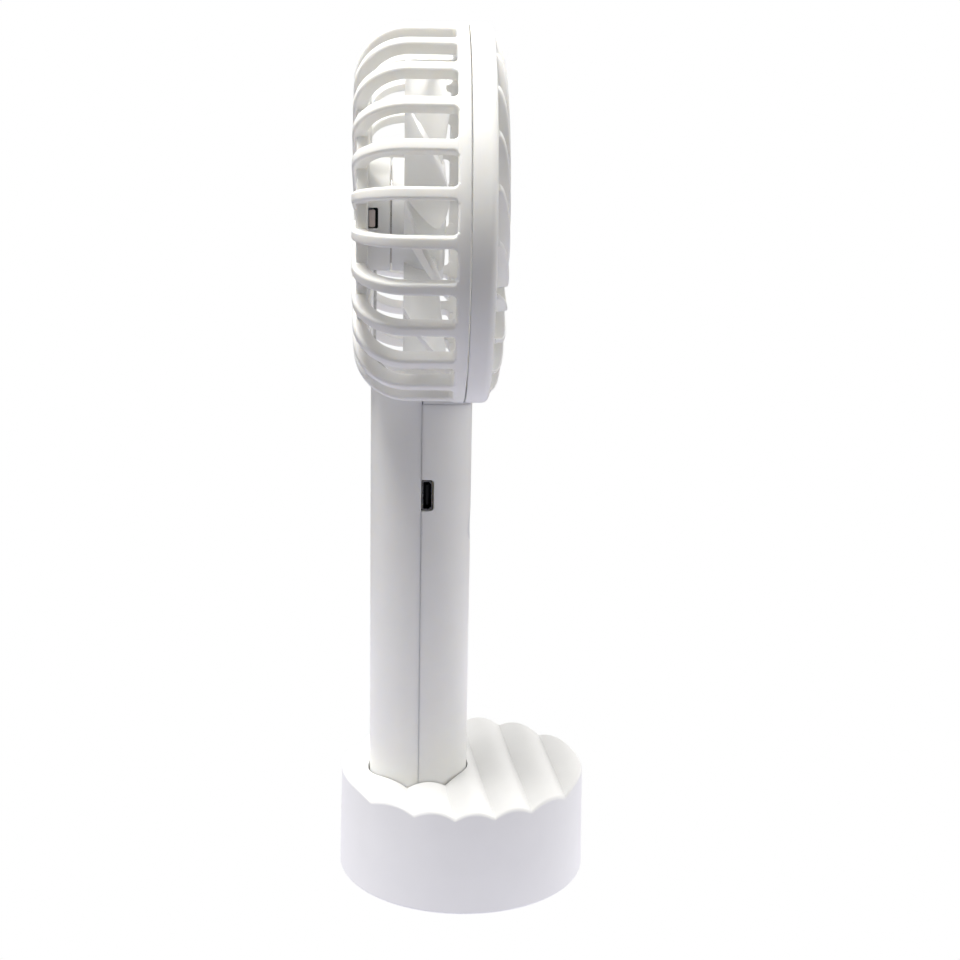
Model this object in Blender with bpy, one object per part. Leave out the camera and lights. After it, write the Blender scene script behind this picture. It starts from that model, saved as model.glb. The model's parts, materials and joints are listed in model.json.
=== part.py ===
"""Hand-held electric fan standing in its desk base.

Units are metres, +Z is up and +X is the way the fan blows. The origin is the centre of the base's
underside. The round handle stands behind the middle of the base, the head is a caged impeller on
top of it, and everything that the fan needs to run sits inside the handle and the head.
"""

from math import cos, log, pi, radians, sin, sqrt

import bmesh
import bpy
from mathutils import Matrix, Vector

MM = 0.001

# ---------------------------------------------------------------- driving dimensions
GAP = 0.3 * MM                      # air between neighbouring pieces
SEAM = 0.15 * MM                    # half of the joint line between two shells

# base
BASE_BOTTOM_RADIUS = 33.0 * MM
BASE_TOP_RADIUS = 32.5 * MM
BASE_WALL = 2.4 * MM
VALLEY_Z = 26.7 * MM                # bottom of the grooves between the ridges
RIDGE_RISE = 1.8 * MM
RIDGE_PITCH = 10.2 * MM
RIDGE_START = -26.4 * MM            # one groove, measured across the ridges from the base's centre
RIDGE_TURN = radians(5.9)           # the ridges' cross direction, turned from +X
RIDGE_STEPS = 5
BASE_SEGMENTS = 64
PAD_THICKNESS = 0.9 * MM
PLATE_THICKNESS = 1.6 * MM
SOCKET_FLOOR_Z = 5.0 * MM
BASE_SCREW_CIRCLE = 24.0 * MM

# handle
HANDLE_X = -12.0 * MM
HANDLE_RADIUS = 13.05 * MM
HANDLE_WALL = 1.8 * MM
HANDLE_BOTTOM_Z = SOCKET_FLOOR_Z + GAP
HANDLE_SEGMENTS = 48
SOCKET_CLEARANCE = 0.4 * MM

# head: distances along X are measured from the handle's axis
HEAD_Z = 176.7 * MM
HEAD_RADIUS = 47.0 * MM
CAGE_REAR = -17.3 * MM
CAGE_CORNER = 13.3 * MM
CAGE_FRONT = 10.4 * MM
WINDOW_FRONT = 7.4 * MM
RIB_COUNT = 26
RIB_WIDTH = 3.1 * MM
RIB_DEPTH = 3.5 * MM
RIB_FILLET = 1.2 * MM
CAGE_DISC_RADIUS = 17.0 * MM
CAGE_FLOOR = 2.6 * MM               # wall between the handle and the inside of the cage
CAGE_SEGMENTS = RIB_COUNT * 2
HOOP_BACK, HOOP_FRONT = -16.1 * MM, -13.3 * MM
HOOP_INNER, HOOP_OUTER = 31.6 * MM, 34.2 * MM
WIRE_HOLE_X = -6.0 * MM
WIRE_HOLE_RADIUS = 2.0 * MM
RING_DEPTH = 3.2 * MM
GRILLE_BACK = CAGE_FRONT + GAP
GRILLE_EDGE = 16.6 * MM             # front of the ring
GRILLE_FRONT = 20.4 * MM            # front of the vanes, where they stand furthest forward
GRILLE_DIP = 3.1 * MM               # how far the vanes fall back from there to the hub
VANE_COUNT = 22
VANE_THICKNESS = 1.5 * MM
VANE_DEPTH = 4.6 * MM
VANE_LEAN = 0.9 * MM
VANE_RIM = 44.9 * MM                # radius at which the vanes rise from the ring
VANE_CREST = 20.1 * MM              # radius at which they stand furthest forward
GRILLE_HUB_RADIUS = 13.0 * MM
GRILLE_HUB_DEPTH = 3.6 * MM
BADGE_RECESS = 1.2 * MM
BADGE_BORDER = 2.0 * MM

# motor and impeller
MOTOR_RADIUS = 12.1 * MM
MOTOR_BACK = -12.4 * MM
MOTOR_FRONT = -0.6 * MM
MOTOR_WALL = 0.5 * MM
MOTOR_CAP_STEP = -11.3 * MM         # the end cap is narrower behind this
MOTOR_CAP_RADIUS = 10.6 * MM
BUSH_RADIUS = 2.6 * MM
MAGNET_INNER, MAGNET_OUTER = 9.3 * MM, 11.3 * MM
MAGNET_BACK, MAGNET_FRONT = -9.4 * MM, -2.4 * MM
CORE_BACK, CORE_FRONT = -9.0 * MM, -3.0 * MM
CORE_RADIUS, CORE_WAIST = 8.6 * MM, 4.6 * MM
SHAFT_RADIUS = 1.0 * MM
SHAFT_BORE = SHAFT_RADIUS + 0.1 * MM
SHAFT_BACK, SHAFT_FRONT = -11.9 * MM, 5.6 * MM
HOLDER_RADIUS = 14.0 * MM
HOLDER_BACK = -13.8 * MM
HOLDER_FRONT = -8.2 * MM
HOLDER_FLOOR = 1.0 * MM
NOTCH_FRONT = -11.2 * MM
SIDE_NOTCH_MIDDLE = 0.85 * MM       # height above the head's axis
SIDE_NOTCH_HALF = 2.55 * MM
FOOT_NOTCH_BACK = -13.3 * MM
FOOT_NOTCH_HALF = 1.5 * MM
TERMINAL_BACK, TERMINAL_FRONT = -13.4 * MM, -11.9 * MM
TERMINAL_THICKNESS = 0.4 * MM
TERMINAL_REACH = 12.9 * MM
HUB_RADIUS = 14.0 * MM
HUB_BACK = -7.9 * MM
HUB_FRONT = 6.0 * MM
HUB_WALL = 1.2 * MM
BLADE_COUNT = 9
BLADE_BACK = -4.9 * MM
BLADE_FRONT = 6.8 * MM
BLADE_TIP_RADIUS = 38.5 * MM
BLADE_TIP_CORNER = 4.0 * MM
BLADE_ROOT_CUT = 3.3 * MM           # the front edge is cut back by this at the hub
BLADE_THICKNESS = 1.1 * MM
BLADE_START = radians(11.6)         # where the first blade's root crosses the head's middle plane
BLADE_SWEEP = radians(-28.3)        # how far the tip is turned from the root
ROOT_PITCH = 0.076 / MM             # turn for each unit of length along the axis, in radians
TIP_PITCH = 0.056 / MM

# electrics in the handle
CELL_RADIUS = 9.2 * MM              # an 18650 cell
CELL_LENGTH = 65.0 * MM
CELL_BOTTOM_Z = 10.0 * MM
BOARD_BACK = -1.3 * MM
BOARD_FRONT = -0.3 * MM
BOARD_HALF_WIDTH = 10.2 * MM
BOARD_BOTTOM_Z = 80.0 * MM
BOARD_TOP_Z = 125.6 * MM
PORT_Z = 107.1 * MM
PORT_HEIGHT = 8.2 * MM
PORT_FRONT = 3.2 * MM
USB_HEIGHT = 7.5 * MM               # the metal shell of a micro USB socket
BUTTON_Z = 96.0 * MM
BUTTON_RADIUS = 4.3 * MM
BUTTON_TRAVEL = 0.5 * MM
LED_Z = 118.0 * MM
WIRE_RADIUS = 0.45 * MM
MOTOR_WIRE_X = -12.05 * MM
MOTOR_WIRE_Y = 0.75 * MM            # half of the distance between the motor's two leads
MOTOR_WIRE_TRACK = 11.5 * MM        # their radius round the motor's end cap
BOSS_HEIGHTS = (84.0 * MM, 121.0 * MM)

HEAD_CENTRE = Vector((HANDLE_X, 0.0, HEAD_Z))
X_AXIS = Vector((1.0, 0.0, 0.0))
Z_AXIS = Vector((0.0, 0.0, 1.0))


# ---------------------------------------------------------------- materials
def make_material(name, colour, roughness, metallic=0.0):
    """A Principled material with one colour and finish."""
    material = bpy.data.materials.new(name)
    material.use_nodes = True
    shader = material.node_tree.nodes["Principled BSDF"]
    shader.inputs["Base Color"].default_value = (*colour, 1.0)
    shader.inputs["Roughness"].default_value = roughness
    shader.inputs["Metallic"].default_value = metallic
    return material


def make_materials():
    """Every finish on the fan, by name."""
    finishes = {
        "warm_white": ((0.87, 0.87, 0.84), 0.35, 0.0),
        "cool_white": ((0.86, 0.87, 0.89), 0.45, 0.0),
        "blade_white": ((0.88, 0.88, 0.87), 0.3, 0.0),
        "button_grey": ((0.75, 0.76, 0.77), 0.35, 0.0),
        "black_plastic": ((0.02, 0.02, 0.02), 0.4, 0.0),
        "pad_grey": ((0.25, 0.25, 0.26), 0.9, 0.0),
        "steel": ((0.62, 0.62, 0.63), 0.25, 1.0),
        "nickel": ((0.70, 0.68, 0.62), 0.3, 1.0),
        "terminal_metal": ((0.80, 0.72, 0.69), 0.35, 1.0),
        "bronze": ((0.55, 0.36, 0.18), 0.35, 1.0),
        "magnet": ((0.10, 0.10, 0.11), 0.6, 0.0),
        "copper": ((0.72, 0.35, 0.18), 0.3, 1.0),
        "board_green": ((0.03, 0.22, 0.10), 0.5, 0.0),
        "cell_wrap": ((0.08, 0.25, 0.55), 0.35, 0.0),
        "wire_red": ((0.60, 0.03, 0.03), 0.4, 0.0),
        "wire_black": ((0.02, 0.02, 0.02), 0.4, 0.0),
        "wire_white": ((0.80, 0.80, 0.78), 0.4, 0.0),
        "clear": ((0.85, 0.88, 0.92), 0.1, 0.0),
    }
    return {name: make_material(name, *values) for name, values in finishes.items()}


# ---------------------------------------------------------------- mesh tools
def finish_object(name, bm, material=None, smooth_angle=radians(35)):
    """Turns a bmesh into a linked object with faces pointing out."""
    bmesh.ops.recalc_face_normals(bm, faces=bm.faces)
    mesh = bpy.data.meshes.new(name)
    bm.to_mesh(mesh)
    bm.free()
    mesh.shade_smooth()
    mesh.set_sharp_from_angle(angle=smooth_angle)
    obj = bpy.data.objects.new(name, mesh)
    bpy.context.scene.collection.objects.link(obj)
    if material is not None:
        mesh.materials.append(material)
    return obj


def hide_tool(obj):
    """Marks an object as a cutter or a filler for a Boolean."""
    obj.hide_render = True
    obj.display_type = "WIRE"
    return obj


def combine(target, operation, *tools):
    """Adds one exact Boolean to the target for each tool."""
    for tool in tools:
        modifier = target.modifiers.new(tool.name, "BOOLEAN")
        modifier.operation = operation
        modifier.solver = "EXACT"
        modifier.object = hide_tool(tool)
    return target


def turned(name, profile, centre, axis, segments, material=None):
    """Spins (along, radius) points about an axis; flat ends that reach the axis become one face."""
    axis = Vector(axis)
    side = Z_AXIS if abs(axis.z) < 0.5 else X_AXIS
    solid = profile[0][1] == 0.0 and profile[-1][1] == 0.0
    rim = profile[1:-1] if solid else profile
    bm = bmesh.new()
    verts = [bm.verts.new(centre + axis * along + side * radius) for along, radius in rim]
    edges = [bm.edges.new(pair) for pair in zip(verts, verts[1:])]
    if not solid:
        edges.append(bm.edges.new((verts[-1], verts[0])))
    bmesh.ops.spin(
        bm, geom=verts + edges, cent=centre, axis=axis, angle=2 * pi, steps=segments, use_merge=True
    )
    bmesh.ops.remove_doubles(bm, verts=bm.verts, dist=1e-6)
    if solid:
        bmesh.ops.holes_fill(bm, edges=[e for e in bm.edges if e.is_boundary], sides=0)
    return finish_object(name, bm, material)


def cylinder(name, centre, axis, start, end, radius, segments=24, material=None):
    """A plain round bar from start to end along an axis."""
    profile = [(start, 0.0), (start, radius), (end, radius), (end, 0.0)]
    return turned(name, profile, centre, axis, segments, material)


def tube(name, centre, axis, start, end, inner, outer, segments=24, material=None):
    """A plain round tube from start to end along an axis."""
    profile = [(start, inner), (start, outer), (end, outer), (end, inner)]
    return turned(name, profile, centre, axis, segments, material)


def block(name, low, high, material=None):
    """A box between two corners."""
    low, high = Vector(low), Vector(high)
    bm = bmesh.new()
    size = Matrix.Diagonal((*(high - low), 1.0))
    bmesh.ops.create_cube(bm, size=1.0, matrix=Matrix.Translation((low + high) / 2) @ size)
    return finish_object(name, bm, material)


def skin_sections(bm, sections):
    """Skins a row of equal point loops and closes both ends."""
    loops = [[bm.verts.new(point) for point in section] for section in sections]
    for first, second in zip(loops, loops[1:]):
        for i in range(len(first)):
            j = (i + 1) % len(first)
            bm.faces.new((first[i], first[j], second[j], second[i]))
    bm.faces.new(loops[0])
    bm.faces.new(loops[-1])


def wire(name, points, radius, material, sides=6):
    """A round wire that follows a poly curve."""
    curve = bpy.data.curves.new(name, "CURVE")
    curve.dimensions = "3D"
    curve.bevel_depth = radius
    curve.bevel_resolution = (sides - 4) // 2
    curve.use_fill_caps = True
    spline = curve.splines.new("POLY")
    spline.points.add(len(points) - 1)
    for knot, point in zip(spline.points, points):
        knot.co = (*point, 1.0)
    obj = bpy.data.objects.new(name, curve)
    bpy.context.scene.collection.objects.link(obj)
    curve.materials.append(material)
    weld = obj.modifiers.new("weld", "WELD")
    weld.merge_threshold = 0.01 * MM
    return obj


def arc(centre, radius, start, end, steps):
    """Points on a circle, from the start angle to the end angle."""
    angles = [start + (end - start) * i / steps for i in range(steps + 1)]
    return [(centre[0] + radius * cos(a), centre[1] + radius * sin(a)) for a in angles]


def head_point(along, radius, angle):
    """A point on the head, by its place on the axis, its radius and its angle about +X from +Y."""
    return HEAD_CENTRE + Vector((along, radius * cos(angle), radius * sin(angle)))


# ---------------------------------------------------------------- base
def ridge_profile():
    """The base's cross-section: a row of round-topped ridges with sharp grooves between them."""
    points = []
    count = int(2 * BASE_BOTTOM_RADIUS / RIDGE_PITCH) + 2
    first = RIDGE_START - RIDGE_PITCH
    for i in range(count + 1):
        for step in range(RIDGE_STEPS):
            share = step / RIDGE_STEPS
            across = first + (i + share) * RIDGE_PITCH
            points.append((across, VALLEY_Z + RIDGE_RISE * (1 - (2 * share - 1) ** 2)))
    return points


def make_ridge_block():
    """A block wider than the base, with the ridges along its top."""
    top = ridge_profile()
    outline = [(top[0][0], -5 * MM)] + top + [(top[-1][0], -5 * MM)]
    across = Vector((cos(RIDGE_TURN), sin(RIDGE_TURN), 0.0))
    along = Vector((-sin(RIDGE_TURN), cos(RIDGE_TURN), 0.0))
    reach = BASE_BOTTOM_RADIUS + 5 * MM
    sections = [
        [across * c + along * side + Z_AXIS * z for c, z in outline] for side in (-reach, reach)
    ]
    bm = bmesh.new()
    skin_sections(bm, sections)
    return finish_object("ridge_block", bm)


def screw_places():
    """Where the base's three screws stand."""
    angles = [radians(90), radians(270), 0.0]
    return [Vector((BASE_SCREW_CIRCLE * cos(a), BASE_SCREW_CIRCLE * sin(a), 0.0)) for a in angles]


def make_base_shell(material):
    """The drum: ridged top, round socket for the handle, hollow underneath."""
    ceiling = VALLEY_Z - BASE_WALL
    top = VALLEY_Z + RIDGE_RISE + MM
    foot = 0.8 * MM
    profile = [
        (0.0, 0.0),
        (0.0, BASE_BOTTOM_RADIUS - foot),
        (foot / 3, BASE_BOTTOM_RADIUS - foot / 3),
        (foot, BASE_BOTTOM_RADIUS),
        (top, BASE_TOP_RADIUS),
        (top, 0.0),
    ]
    shell = turned("base_shell", profile, Vector(), Z_AXIS, BASE_SEGMENTS, material)
    combine(shell, "INTERSECT", make_ridge_block())
    inner = BASE_TOP_RADIUS - BASE_WALL
    hollow = cylinder("base_hollow", Vector(), Z_AXIS, -MM, ceiling, inner, BASE_SEGMENTS)
    axis = Vector((HANDLE_X, 0.0, 0.0))
    socket = HANDLE_RADIUS + SOCKET_CLEARANCE
    floor = PAD_THICKNESS + PLATE_THICKNESS + 2 * GAP
    well_wall = cylinder(
        "socket_wall", axis, Z_AXIS, floor, ceiling + MM, socket + 1.8 * MM, HANDLE_SEGMENTS
    )
    well = cylinder("socket_well", axis, Z_AXIS, SOCKET_FLOOR_Z, top + MM, socket, HANDLE_SEGMENTS)
    combine(shell, "DIFFERENCE", hollow)
    combine(shell, "UNION", well_wall)
    for number, place in enumerate(screw_places(), 1):
        post = cylinder(f"screw_post_{number}", place, Z_AXIS, floor, ceiling + MM, 3.0 * MM, 12)
        hole = cylinder(f"post_hole_{number}", place, Z_AXIS, -MM, 10 * MM, 1.3 * MM, 12)
        combine(shell, "UNION", post)
        combine(shell, "DIFFERENCE", hole)
    combine(shell, "DIFFERENCE", well)


def make_base_plate(material):
    """The flat cover that closes the base's underside."""
    low = PAD_THICKNESS + GAP
    high = low + PLATE_THICKNESS
    radius = BASE_TOP_RADIUS - BASE_WALL - GAP
    plate = cylinder("base_plate", Vector(), Z_AXIS, low, high, radius, BASE_SEGMENTS, material)
    for number, place in enumerate(screw_places(), 1):
        through = cylinder(f"plate_hole_{number}", place, Z_AXIS, 0, 5 * MM, 1.3 * MM, 12)
        sink = cylinder(f"plate_sink_{number}", place, Z_AXIS, 0, low + MM, 2.4 * MM, 12)
        combine(plate, "DIFFERENCE", through, sink)


def make_base_screws(material):
    """Three self-tapping screws, heads down."""
    head = PAD_THICKNESS + GAP + 0.05 * MM
    neck = head + 0.65 * MM
    for number, place in enumerate(screw_places(), 1):
        profile = [
            (head, 0.0), (head, 1.6 * MM), (head + 0.2 * MM, 2.1 * MM), (neck, 2.1 * MM),
            (neck, 1.0 * MM), (8.0 * MM, 1.0 * MM), (9.0 * MM, 0.3 * MM), (9.0 * MM, 0.0),
        ]
        turned(f"base_screw_{number}", profile, place, Z_AXIS, 12, material)


def make_base(materials):
    """The base and what is fixed to it."""
    make_base_shell(materials["cool_white"])
    make_base_plate(materials["cool_white"])
    radius = BASE_TOP_RADIUS - BASE_WALL - 2 * GAP
    pad = materials["pad_grey"]
    cylinder("base_pad", Vector(), Z_AXIS, 0, PAD_THICKNESS, radius, BASE_SEGMENTS, pad)
    make_base_screws(materials["steel"])


# ---------------------------------------------------------------- head frame
def cage_outline(inset, front=CAGE_FRONT):
    """The cage's outer outline as a solid of revolution, moved in by inset."""
    corner = (CAGE_REAR + CAGE_CORNER, HEAD_RADIUS - CAGE_CORNER)
    bend = arc(corner, CAGE_CORNER - inset, pi, pi / 2, 8)
    return [(bend[0][0], 0.0)] + bend + [(front, HEAD_RADIUS - inset), (front, 0.0)]


def head_solid(name, inset, front=CAGE_FRONT):
    """A solid with the cage's outline, for cutting and filling."""
    return turned(name, cage_outline(inset, front), HEAD_CENTRE, X_AXIS, CAGE_SEGMENTS)


def rib_stations():
    """(along, radius, direction, width) down the middle of a rib's outer face."""
    stations = []
    end = WINDOW_FRONT
    for share in (1.0, 0.6, 0.0):
        flare = RIB_FILLET * (1 - sqrt(1 - share * share))
        along = end - RIB_FILLET * (1 - share)
        stations.append((along, HEAD_RADIUS, pi / 2, RIB_WIDTH + 2 * flare))
    stations.insert(0, (end + 1.0 * MM, HEAD_RADIUS, pi / 2, RIB_WIDTH + 2 * RIB_FILLET))
    corner = (CAGE_REAR + CAGE_CORNER, HEAD_RADIUS - CAGE_CORNER)
    for i in range(6):
        angle = pi / 2 + (pi / 2) * i / 5
        along = corner[0] + CAGE_CORNER * cos(angle)
        radius = corner[1] + CAGE_CORNER * sin(angle)
        stations.append((along, radius, angle, RIB_WIDTH * (1 - 0.04 * i / 5)))
    inner = CAGE_DISC_RADIUS - 1.5 * MM
    stations.append((CAGE_REAR, inner, pi, 1.7 * MM))
    return stations


def add_rib(bm, angle, stations):
    """One rib, its outer face just under the cage's outline and its depth pointing inwards."""
    skin = 0.1 * MM
    outward = Vector((0.0, cos(angle), sin(angle)))
    across = Vector((0.0, -sin(angle), cos(angle)))
    sections = []
    for along, radius, turn, width in stations:
        face = HEAD_CENTRE + X_AXIS * along + outward * radius
        inward = -(X_AXIS * cos(turn) + outward * sin(turn))
        half = width / 2
        sections.append([
            face + inward * skin - across * half,
            face + inward * skin + across * half,
            face + inward * RIB_DEPTH + across * half * 0.85,
            face + inward * RIB_DEPTH - across * half * 0.85,
        ])
    skin_sections(bm, sections)


def make_ribs():
    """All the cage's ribs, with a window facing straight up and down."""
    bm = bmesh.new()
    stations = rib_stations()
    for i in range(RIB_COUNT):
        add_rib(bm, 2 * pi * (i + 0.5) / RIB_COUNT + pi / 2, stations)
    return finish_object("cage_ribs", bm)


def make_cage_ring(material):
    """The band that the ribs spring from."""
    inner = HEAD_RADIUS - RING_DEPTH
    soft = 0.3 * MM
    profile = [
        (WINDOW_FRONT, inner),
        (WINDOW_FRONT, HEAD_RADIUS - soft),
        (WINDOW_FRONT + soft, HEAD_RADIUS),
        (CAGE_FRONT, HEAD_RADIUS),
        (CAGE_FRONT, inner),
    ]
    return turned("rear_shell", profile, HEAD_CENTRE, X_AXIS, CAGE_SEGMENTS, material)


def make_rear_handle():
    """The rear half of the handle, closed at its top by a wall that follows the cage."""
    axis = Vector((HANDLE_X, 0.0, 0.0))
    top = HEAD_Z - 25 * MM
    half = cylinder("rear_half", axis, Z_AXIS, HANDLE_BOTTOM_Z, top, HANDLE_RADIUS, HANDLE_SEGMENTS)
    cavity = cylinder(
        "rear_cavity", axis, Z_AXIS, HANDLE_BOTTOM_Z + 2 * MM, top + MM,
        HANDLE_RADIUS - HANDLE_WALL, HANDLE_SEGMENTS,
    )
    combine(cavity, "DIFFERENCE", head_solid("cage_skin", -1.0 * MM, 20 * MM))
    reach = 40 * MM
    front_side = block(
        "front_side", (HANDLE_X - SEAM, -reach, -reach), (HANDLE_X + reach, reach, HEAD_Z)
    )
    inside = head_solid("cage_inside", CAGE_FLOOR, 20 * MM)
    combine(half, "DIFFERENCE", cavity, front_side, inside)
    return half


def make_saddle():
    """The front part of the floor inside the cage, above the handle."""
    axis = Vector((HANDLE_X, 0.0, 0.0))
    radius = HANDLE_RADIUS - 0.5 * MM
    saddle = cylinder("saddle", axis, Z_AXIS, HEAD_Z - 60 * MM, HEAD_Z - 30 * MM, radius, 36)
    band = tube(
        "saddle_band", HEAD_CENTRE, X_AXIS, -1.5 * MM, WINDOW_FRONT + 1.5 * MM,
        HEAD_RADIUS - CAGE_FLOOR, HEAD_RADIUS - 0.3 * MM, CAGE_SEGMENTS,
    )
    combine(saddle, "INTERSECT", band)
    return saddle


def make_rear_shell(material):
    """Cage and rear half of the handle in one moulding."""
    shell = make_cage_ring(material)
    combine(shell, "UNION", make_ribs())
    disc = cylinder(
        "cage_disc", HEAD_CENTRE, X_AXIS, CAGE_REAR + 0.3 * MM, HOLDER_BACK - GAP,
        CAGE_DISC_RADIUS, CAGE_SEGMENTS,
    )
    hoop = tube(
        "cage_hoop", HEAD_CENTRE, X_AXIS, HOOP_BACK, HOOP_FRONT, HOOP_INNER, HOOP_OUTER,
        CAGE_SEGMENTS,
    )
    combine(shell, "UNION", disc, hoop, make_rear_handle(), make_saddle())
    for number, height in enumerate(BOSS_HEIGHTS, 1):
        centre = Vector((HANDLE_X, 0.0, height))
        post = cylinder(
            f"board_post_{number}", centre, X_AXIS, -11.9 * MM, BOARD_BACK - GAP, 2.2 * MM, 12
        )
        hole = cylinder(f"board_post_hole_{number}", centre, X_AXIS, -8 * MM, 0.0, MM, 12)
        combine(shell, "UNION", post)
        combine(shell, "DIFFERENCE", hole)
    wire_centre = Vector((HANDLE_X + WIRE_HOLE_X, 0.0, 0.0))
    combine(shell, "DIFFERENCE", cylinder(
        "wire_hole", wire_centre, Z_AXIS, HEAD_Z - 60 * MM, HEAD_Z - 30 * MM, WIRE_HOLE_RADIUS, 12
    ))


def make_front_shell(material):
    """The front half of the handle, with the port, button and lamp openings."""
    axis = Vector((HANDLE_X, 0.0, 0.0))
    top = HEAD_Z - 40 * MM
    shell = cylinder(
        "front_shell", axis, Z_AXIS, HANDLE_BOTTOM_Z, top, HANDLE_RADIUS, HANDLE_SEGMENTS, material
    )
    cavity = cylinder(
        "front_cavity", axis, Z_AXIS, HANDLE_BOTTOM_Z + 2 * MM, top + MM,
        HANDLE_RADIUS - HANDLE_WALL, HANDLE_SEGMENTS,
    )
    reach = 40 * MM
    roof = cylinder(
        "front_roof", HEAD_CENTRE, X_AXIS, -reach, reach, HEAD_RADIUS + 2.2 * MM, CAGE_SEGMENTS
    )
    combine(cavity, "DIFFERENCE", roof)
    saddle = cylinder(
        "front_saddle", HEAD_CENTRE, X_AXIS, -reach, reach, HEAD_RADIUS + GAP, CAGE_SEGMENTS
    )
    rear_side = block(
        "rear_side", (HANDLE_X - reach, -reach, -reach), (HANDLE_X + SEAM, reach, HEAD_Z)
    )
    port = block(
        "port_cut",
        (HANDLE_X - MM, -reach, PORT_Z - PORT_HEIGHT / 2),
        (HANDLE_X + PORT_FRONT, -8 * MM, PORT_Z + PORT_HEIGHT / 2),
    )
    button = cylinder(
        "button_cut", Vector((HANDLE_X, 0.0, BUTTON_Z)), X_AXIS, 5 * MM, reach,
        BUTTON_RADIUS + GAP, 24,
    )
    lamp = cylinder(
        "lamp_cut", Vector((HANDLE_X, 0.0, LED_Z)), X_AXIS, 5 * MM, reach, MM + GAP, 12
    )
    combine(shell, "DIFFERENCE", cavity, saddle, rear_side, port, button, lamp)


# ---------------------------------------------------------------- front grille
def vane_front(radius):
    """How far forward a vane stands: it rises from the ring to a crest and dips to the hub."""
    if radius < VANE_CREST:
        share = min(1.0, (VANE_CREST - radius) / (VANE_CREST - GRILLE_HUB_RADIUS))
        return GRILLE_FRONT - GRILLE_DIP * share ** 3.4
    share = min(1.0, (radius - VANE_CREST) / (VANE_RIM - VANE_CREST))
    return GRILLE_EDGE + (GRILLE_FRONT - GRILLE_EDGE) * sqrt(1.0 - share ** 2.7)


def vane_radii():
    """Radii along a vane, closer together where it rises from the ring and where it dips."""
    outer = HEAD_RADIUS - 2.2 * MM
    inner = GRILLE_HUB_RADIUS - 1.0 * MM
    shares = (0.0, 0.06, 0.16, 0.35, 0.55, 0.76, 0.88, 1.0)
    return [outer + (inner - outer) * share for share in shares]


def add_vane(bm, start_angle):
    """One spiral vane from the ring to the hub, leaning like a slat."""
    sections = []
    for radius in vane_radii():
        angle = start_angle + log(VANE_RIM / radius)
        front = vane_front(radius)
        half = VANE_THICKNESS / 2 / radius
        shift = VANE_LEAN / radius
        sections.append([
            head_point(front, radius, angle - half),
            head_point(front, radius, angle + half),
            head_point(front - VANE_DEPTH, radius, angle + half + shift),
            head_point(front - VANE_DEPTH, radius, angle - half + shift),
        ])
    skin_sections(bm, sections)


def make_front_grille(material):
    """Ring, spiral vanes and hub of the front guard."""
    inner = HEAD_RADIUS - RING_DEPTH
    round_edge = 1.8 * MM
    nose = arc(
        (GRILLE_EDGE - round_edge, HEAD_RADIUS - round_edge), round_edge, pi / 2, 0.0, 3
    )
    profile = [(GRILLE_BACK, inner), (GRILLE_BACK, HEAD_RADIUS)] + nose + [(GRILLE_EDGE, inner)]
    grille = turned("front_grille", profile, HEAD_CENTRE, X_AXIS, CAGE_SEGMENTS, material)
    bm = bmesh.new()
    for i in range(VANE_COUNT):
        add_vane(bm, 2 * pi * i / VANE_COUNT)
    vanes = finish_object("grille_vanes", bm)
    hub_front = vane_front(GRILLE_HUB_RADIUS)
    hub_back = hub_front - GRILLE_HUB_DEPTH
    recess = hub_front - BADGE_RECESS
    border = GRILLE_HUB_RADIUS - BADGE_BORDER
    soft = 0.4 * MM
    hub_profile = [
        (hub_back, 0.0), (hub_back, GRILLE_HUB_RADIUS), (hub_front - soft, GRILLE_HUB_RADIUS),
        (hub_front, GRILLE_HUB_RADIUS - soft), (hub_front, border), (recess, border), (recess, 0.0),
    ]
    hub = turned("grille_hub", hub_profile, HEAD_CENTRE, X_AXIS, 36)
    combine(grille, "UNION", vanes, hub)


def make_badge(material):
    """The plain round inlay in the middle of the front guard."""
    base = vane_front(GRILLE_HUB_RADIUS) - BADGE_RECESS + GAP
    rim = GRILLE_HUB_RADIUS - BADGE_BORDER - GAP
    profile = [
        (base, 0.0), (base, rim), (base + 0.5 * MM, rim), (base + 0.9 * MM, rim - 0.6 * MM),
        (base + 1.1 * MM, rim * 0.5), (base + 1.2 * MM, 0.0),
    ]
    turned("grille_badge", profile, HEAD_CENTRE, X_AXIS, 36, material)


# ---------------------------------------------------------------- impeller and motor
def blade_stations():
    """(radius, front) along a blade; the front edge is cut back at the tip and at the root."""
    root = HUB_RADIUS - 0.6 * MM
    full = BLADE_TIP_RADIUS - BLADE_TIP_CORNER
    stations = []
    for step in range(4):
        radius = root + (full - root) * step / 3
        cut = BLADE_ROOT_CUT * (BLADE_TIP_RADIUS - radius) / (BLADE_TIP_RADIUS - HUB_RADIUS)
        stations.append((radius, BLADE_FRONT - cut))
    stations.append((BLADE_TIP_RADIUS - BLADE_TIP_CORNER * 0.3, BLADE_FRONT - BLADE_TIP_CORNER * 0.3))
    stations.append((BLADE_TIP_RADIUS, BLADE_FRONT - BLADE_TIP_CORNER * 0.8))
    return stations


def add_blade(bm, start_angle):
    """One twisted blade, from inside the hub wall to the tip."""
    sections = []
    for radius, front in blade_stations():
        share = (radius - HUB_RADIUS) / (BLADE_TIP_RADIUS - HUB_RADIUS)
        pitch = ROOT_PITCH + (TIP_PITCH - ROOT_PITCH) * share
        slant = sqrt(1.0 + (pitch * radius) ** 2)
        half = BLADE_THICKNESS / 2 * slant / radius
        chord = [BLADE_BACK + (front - BLADE_BACK) * t for t in (0.0, 0.5, 1.0)]
        loop = []
        for side in (-1, 1):
            row = []
            for along in chord:
                angle = start_angle + BLADE_SWEEP * share + pitch * along
                row.append(head_point(along, radius, angle + side * half))
            loop += row if side < 0 else row[::-1]
        sections.append(loop)
    skin_sections(bm, sections)


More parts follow.
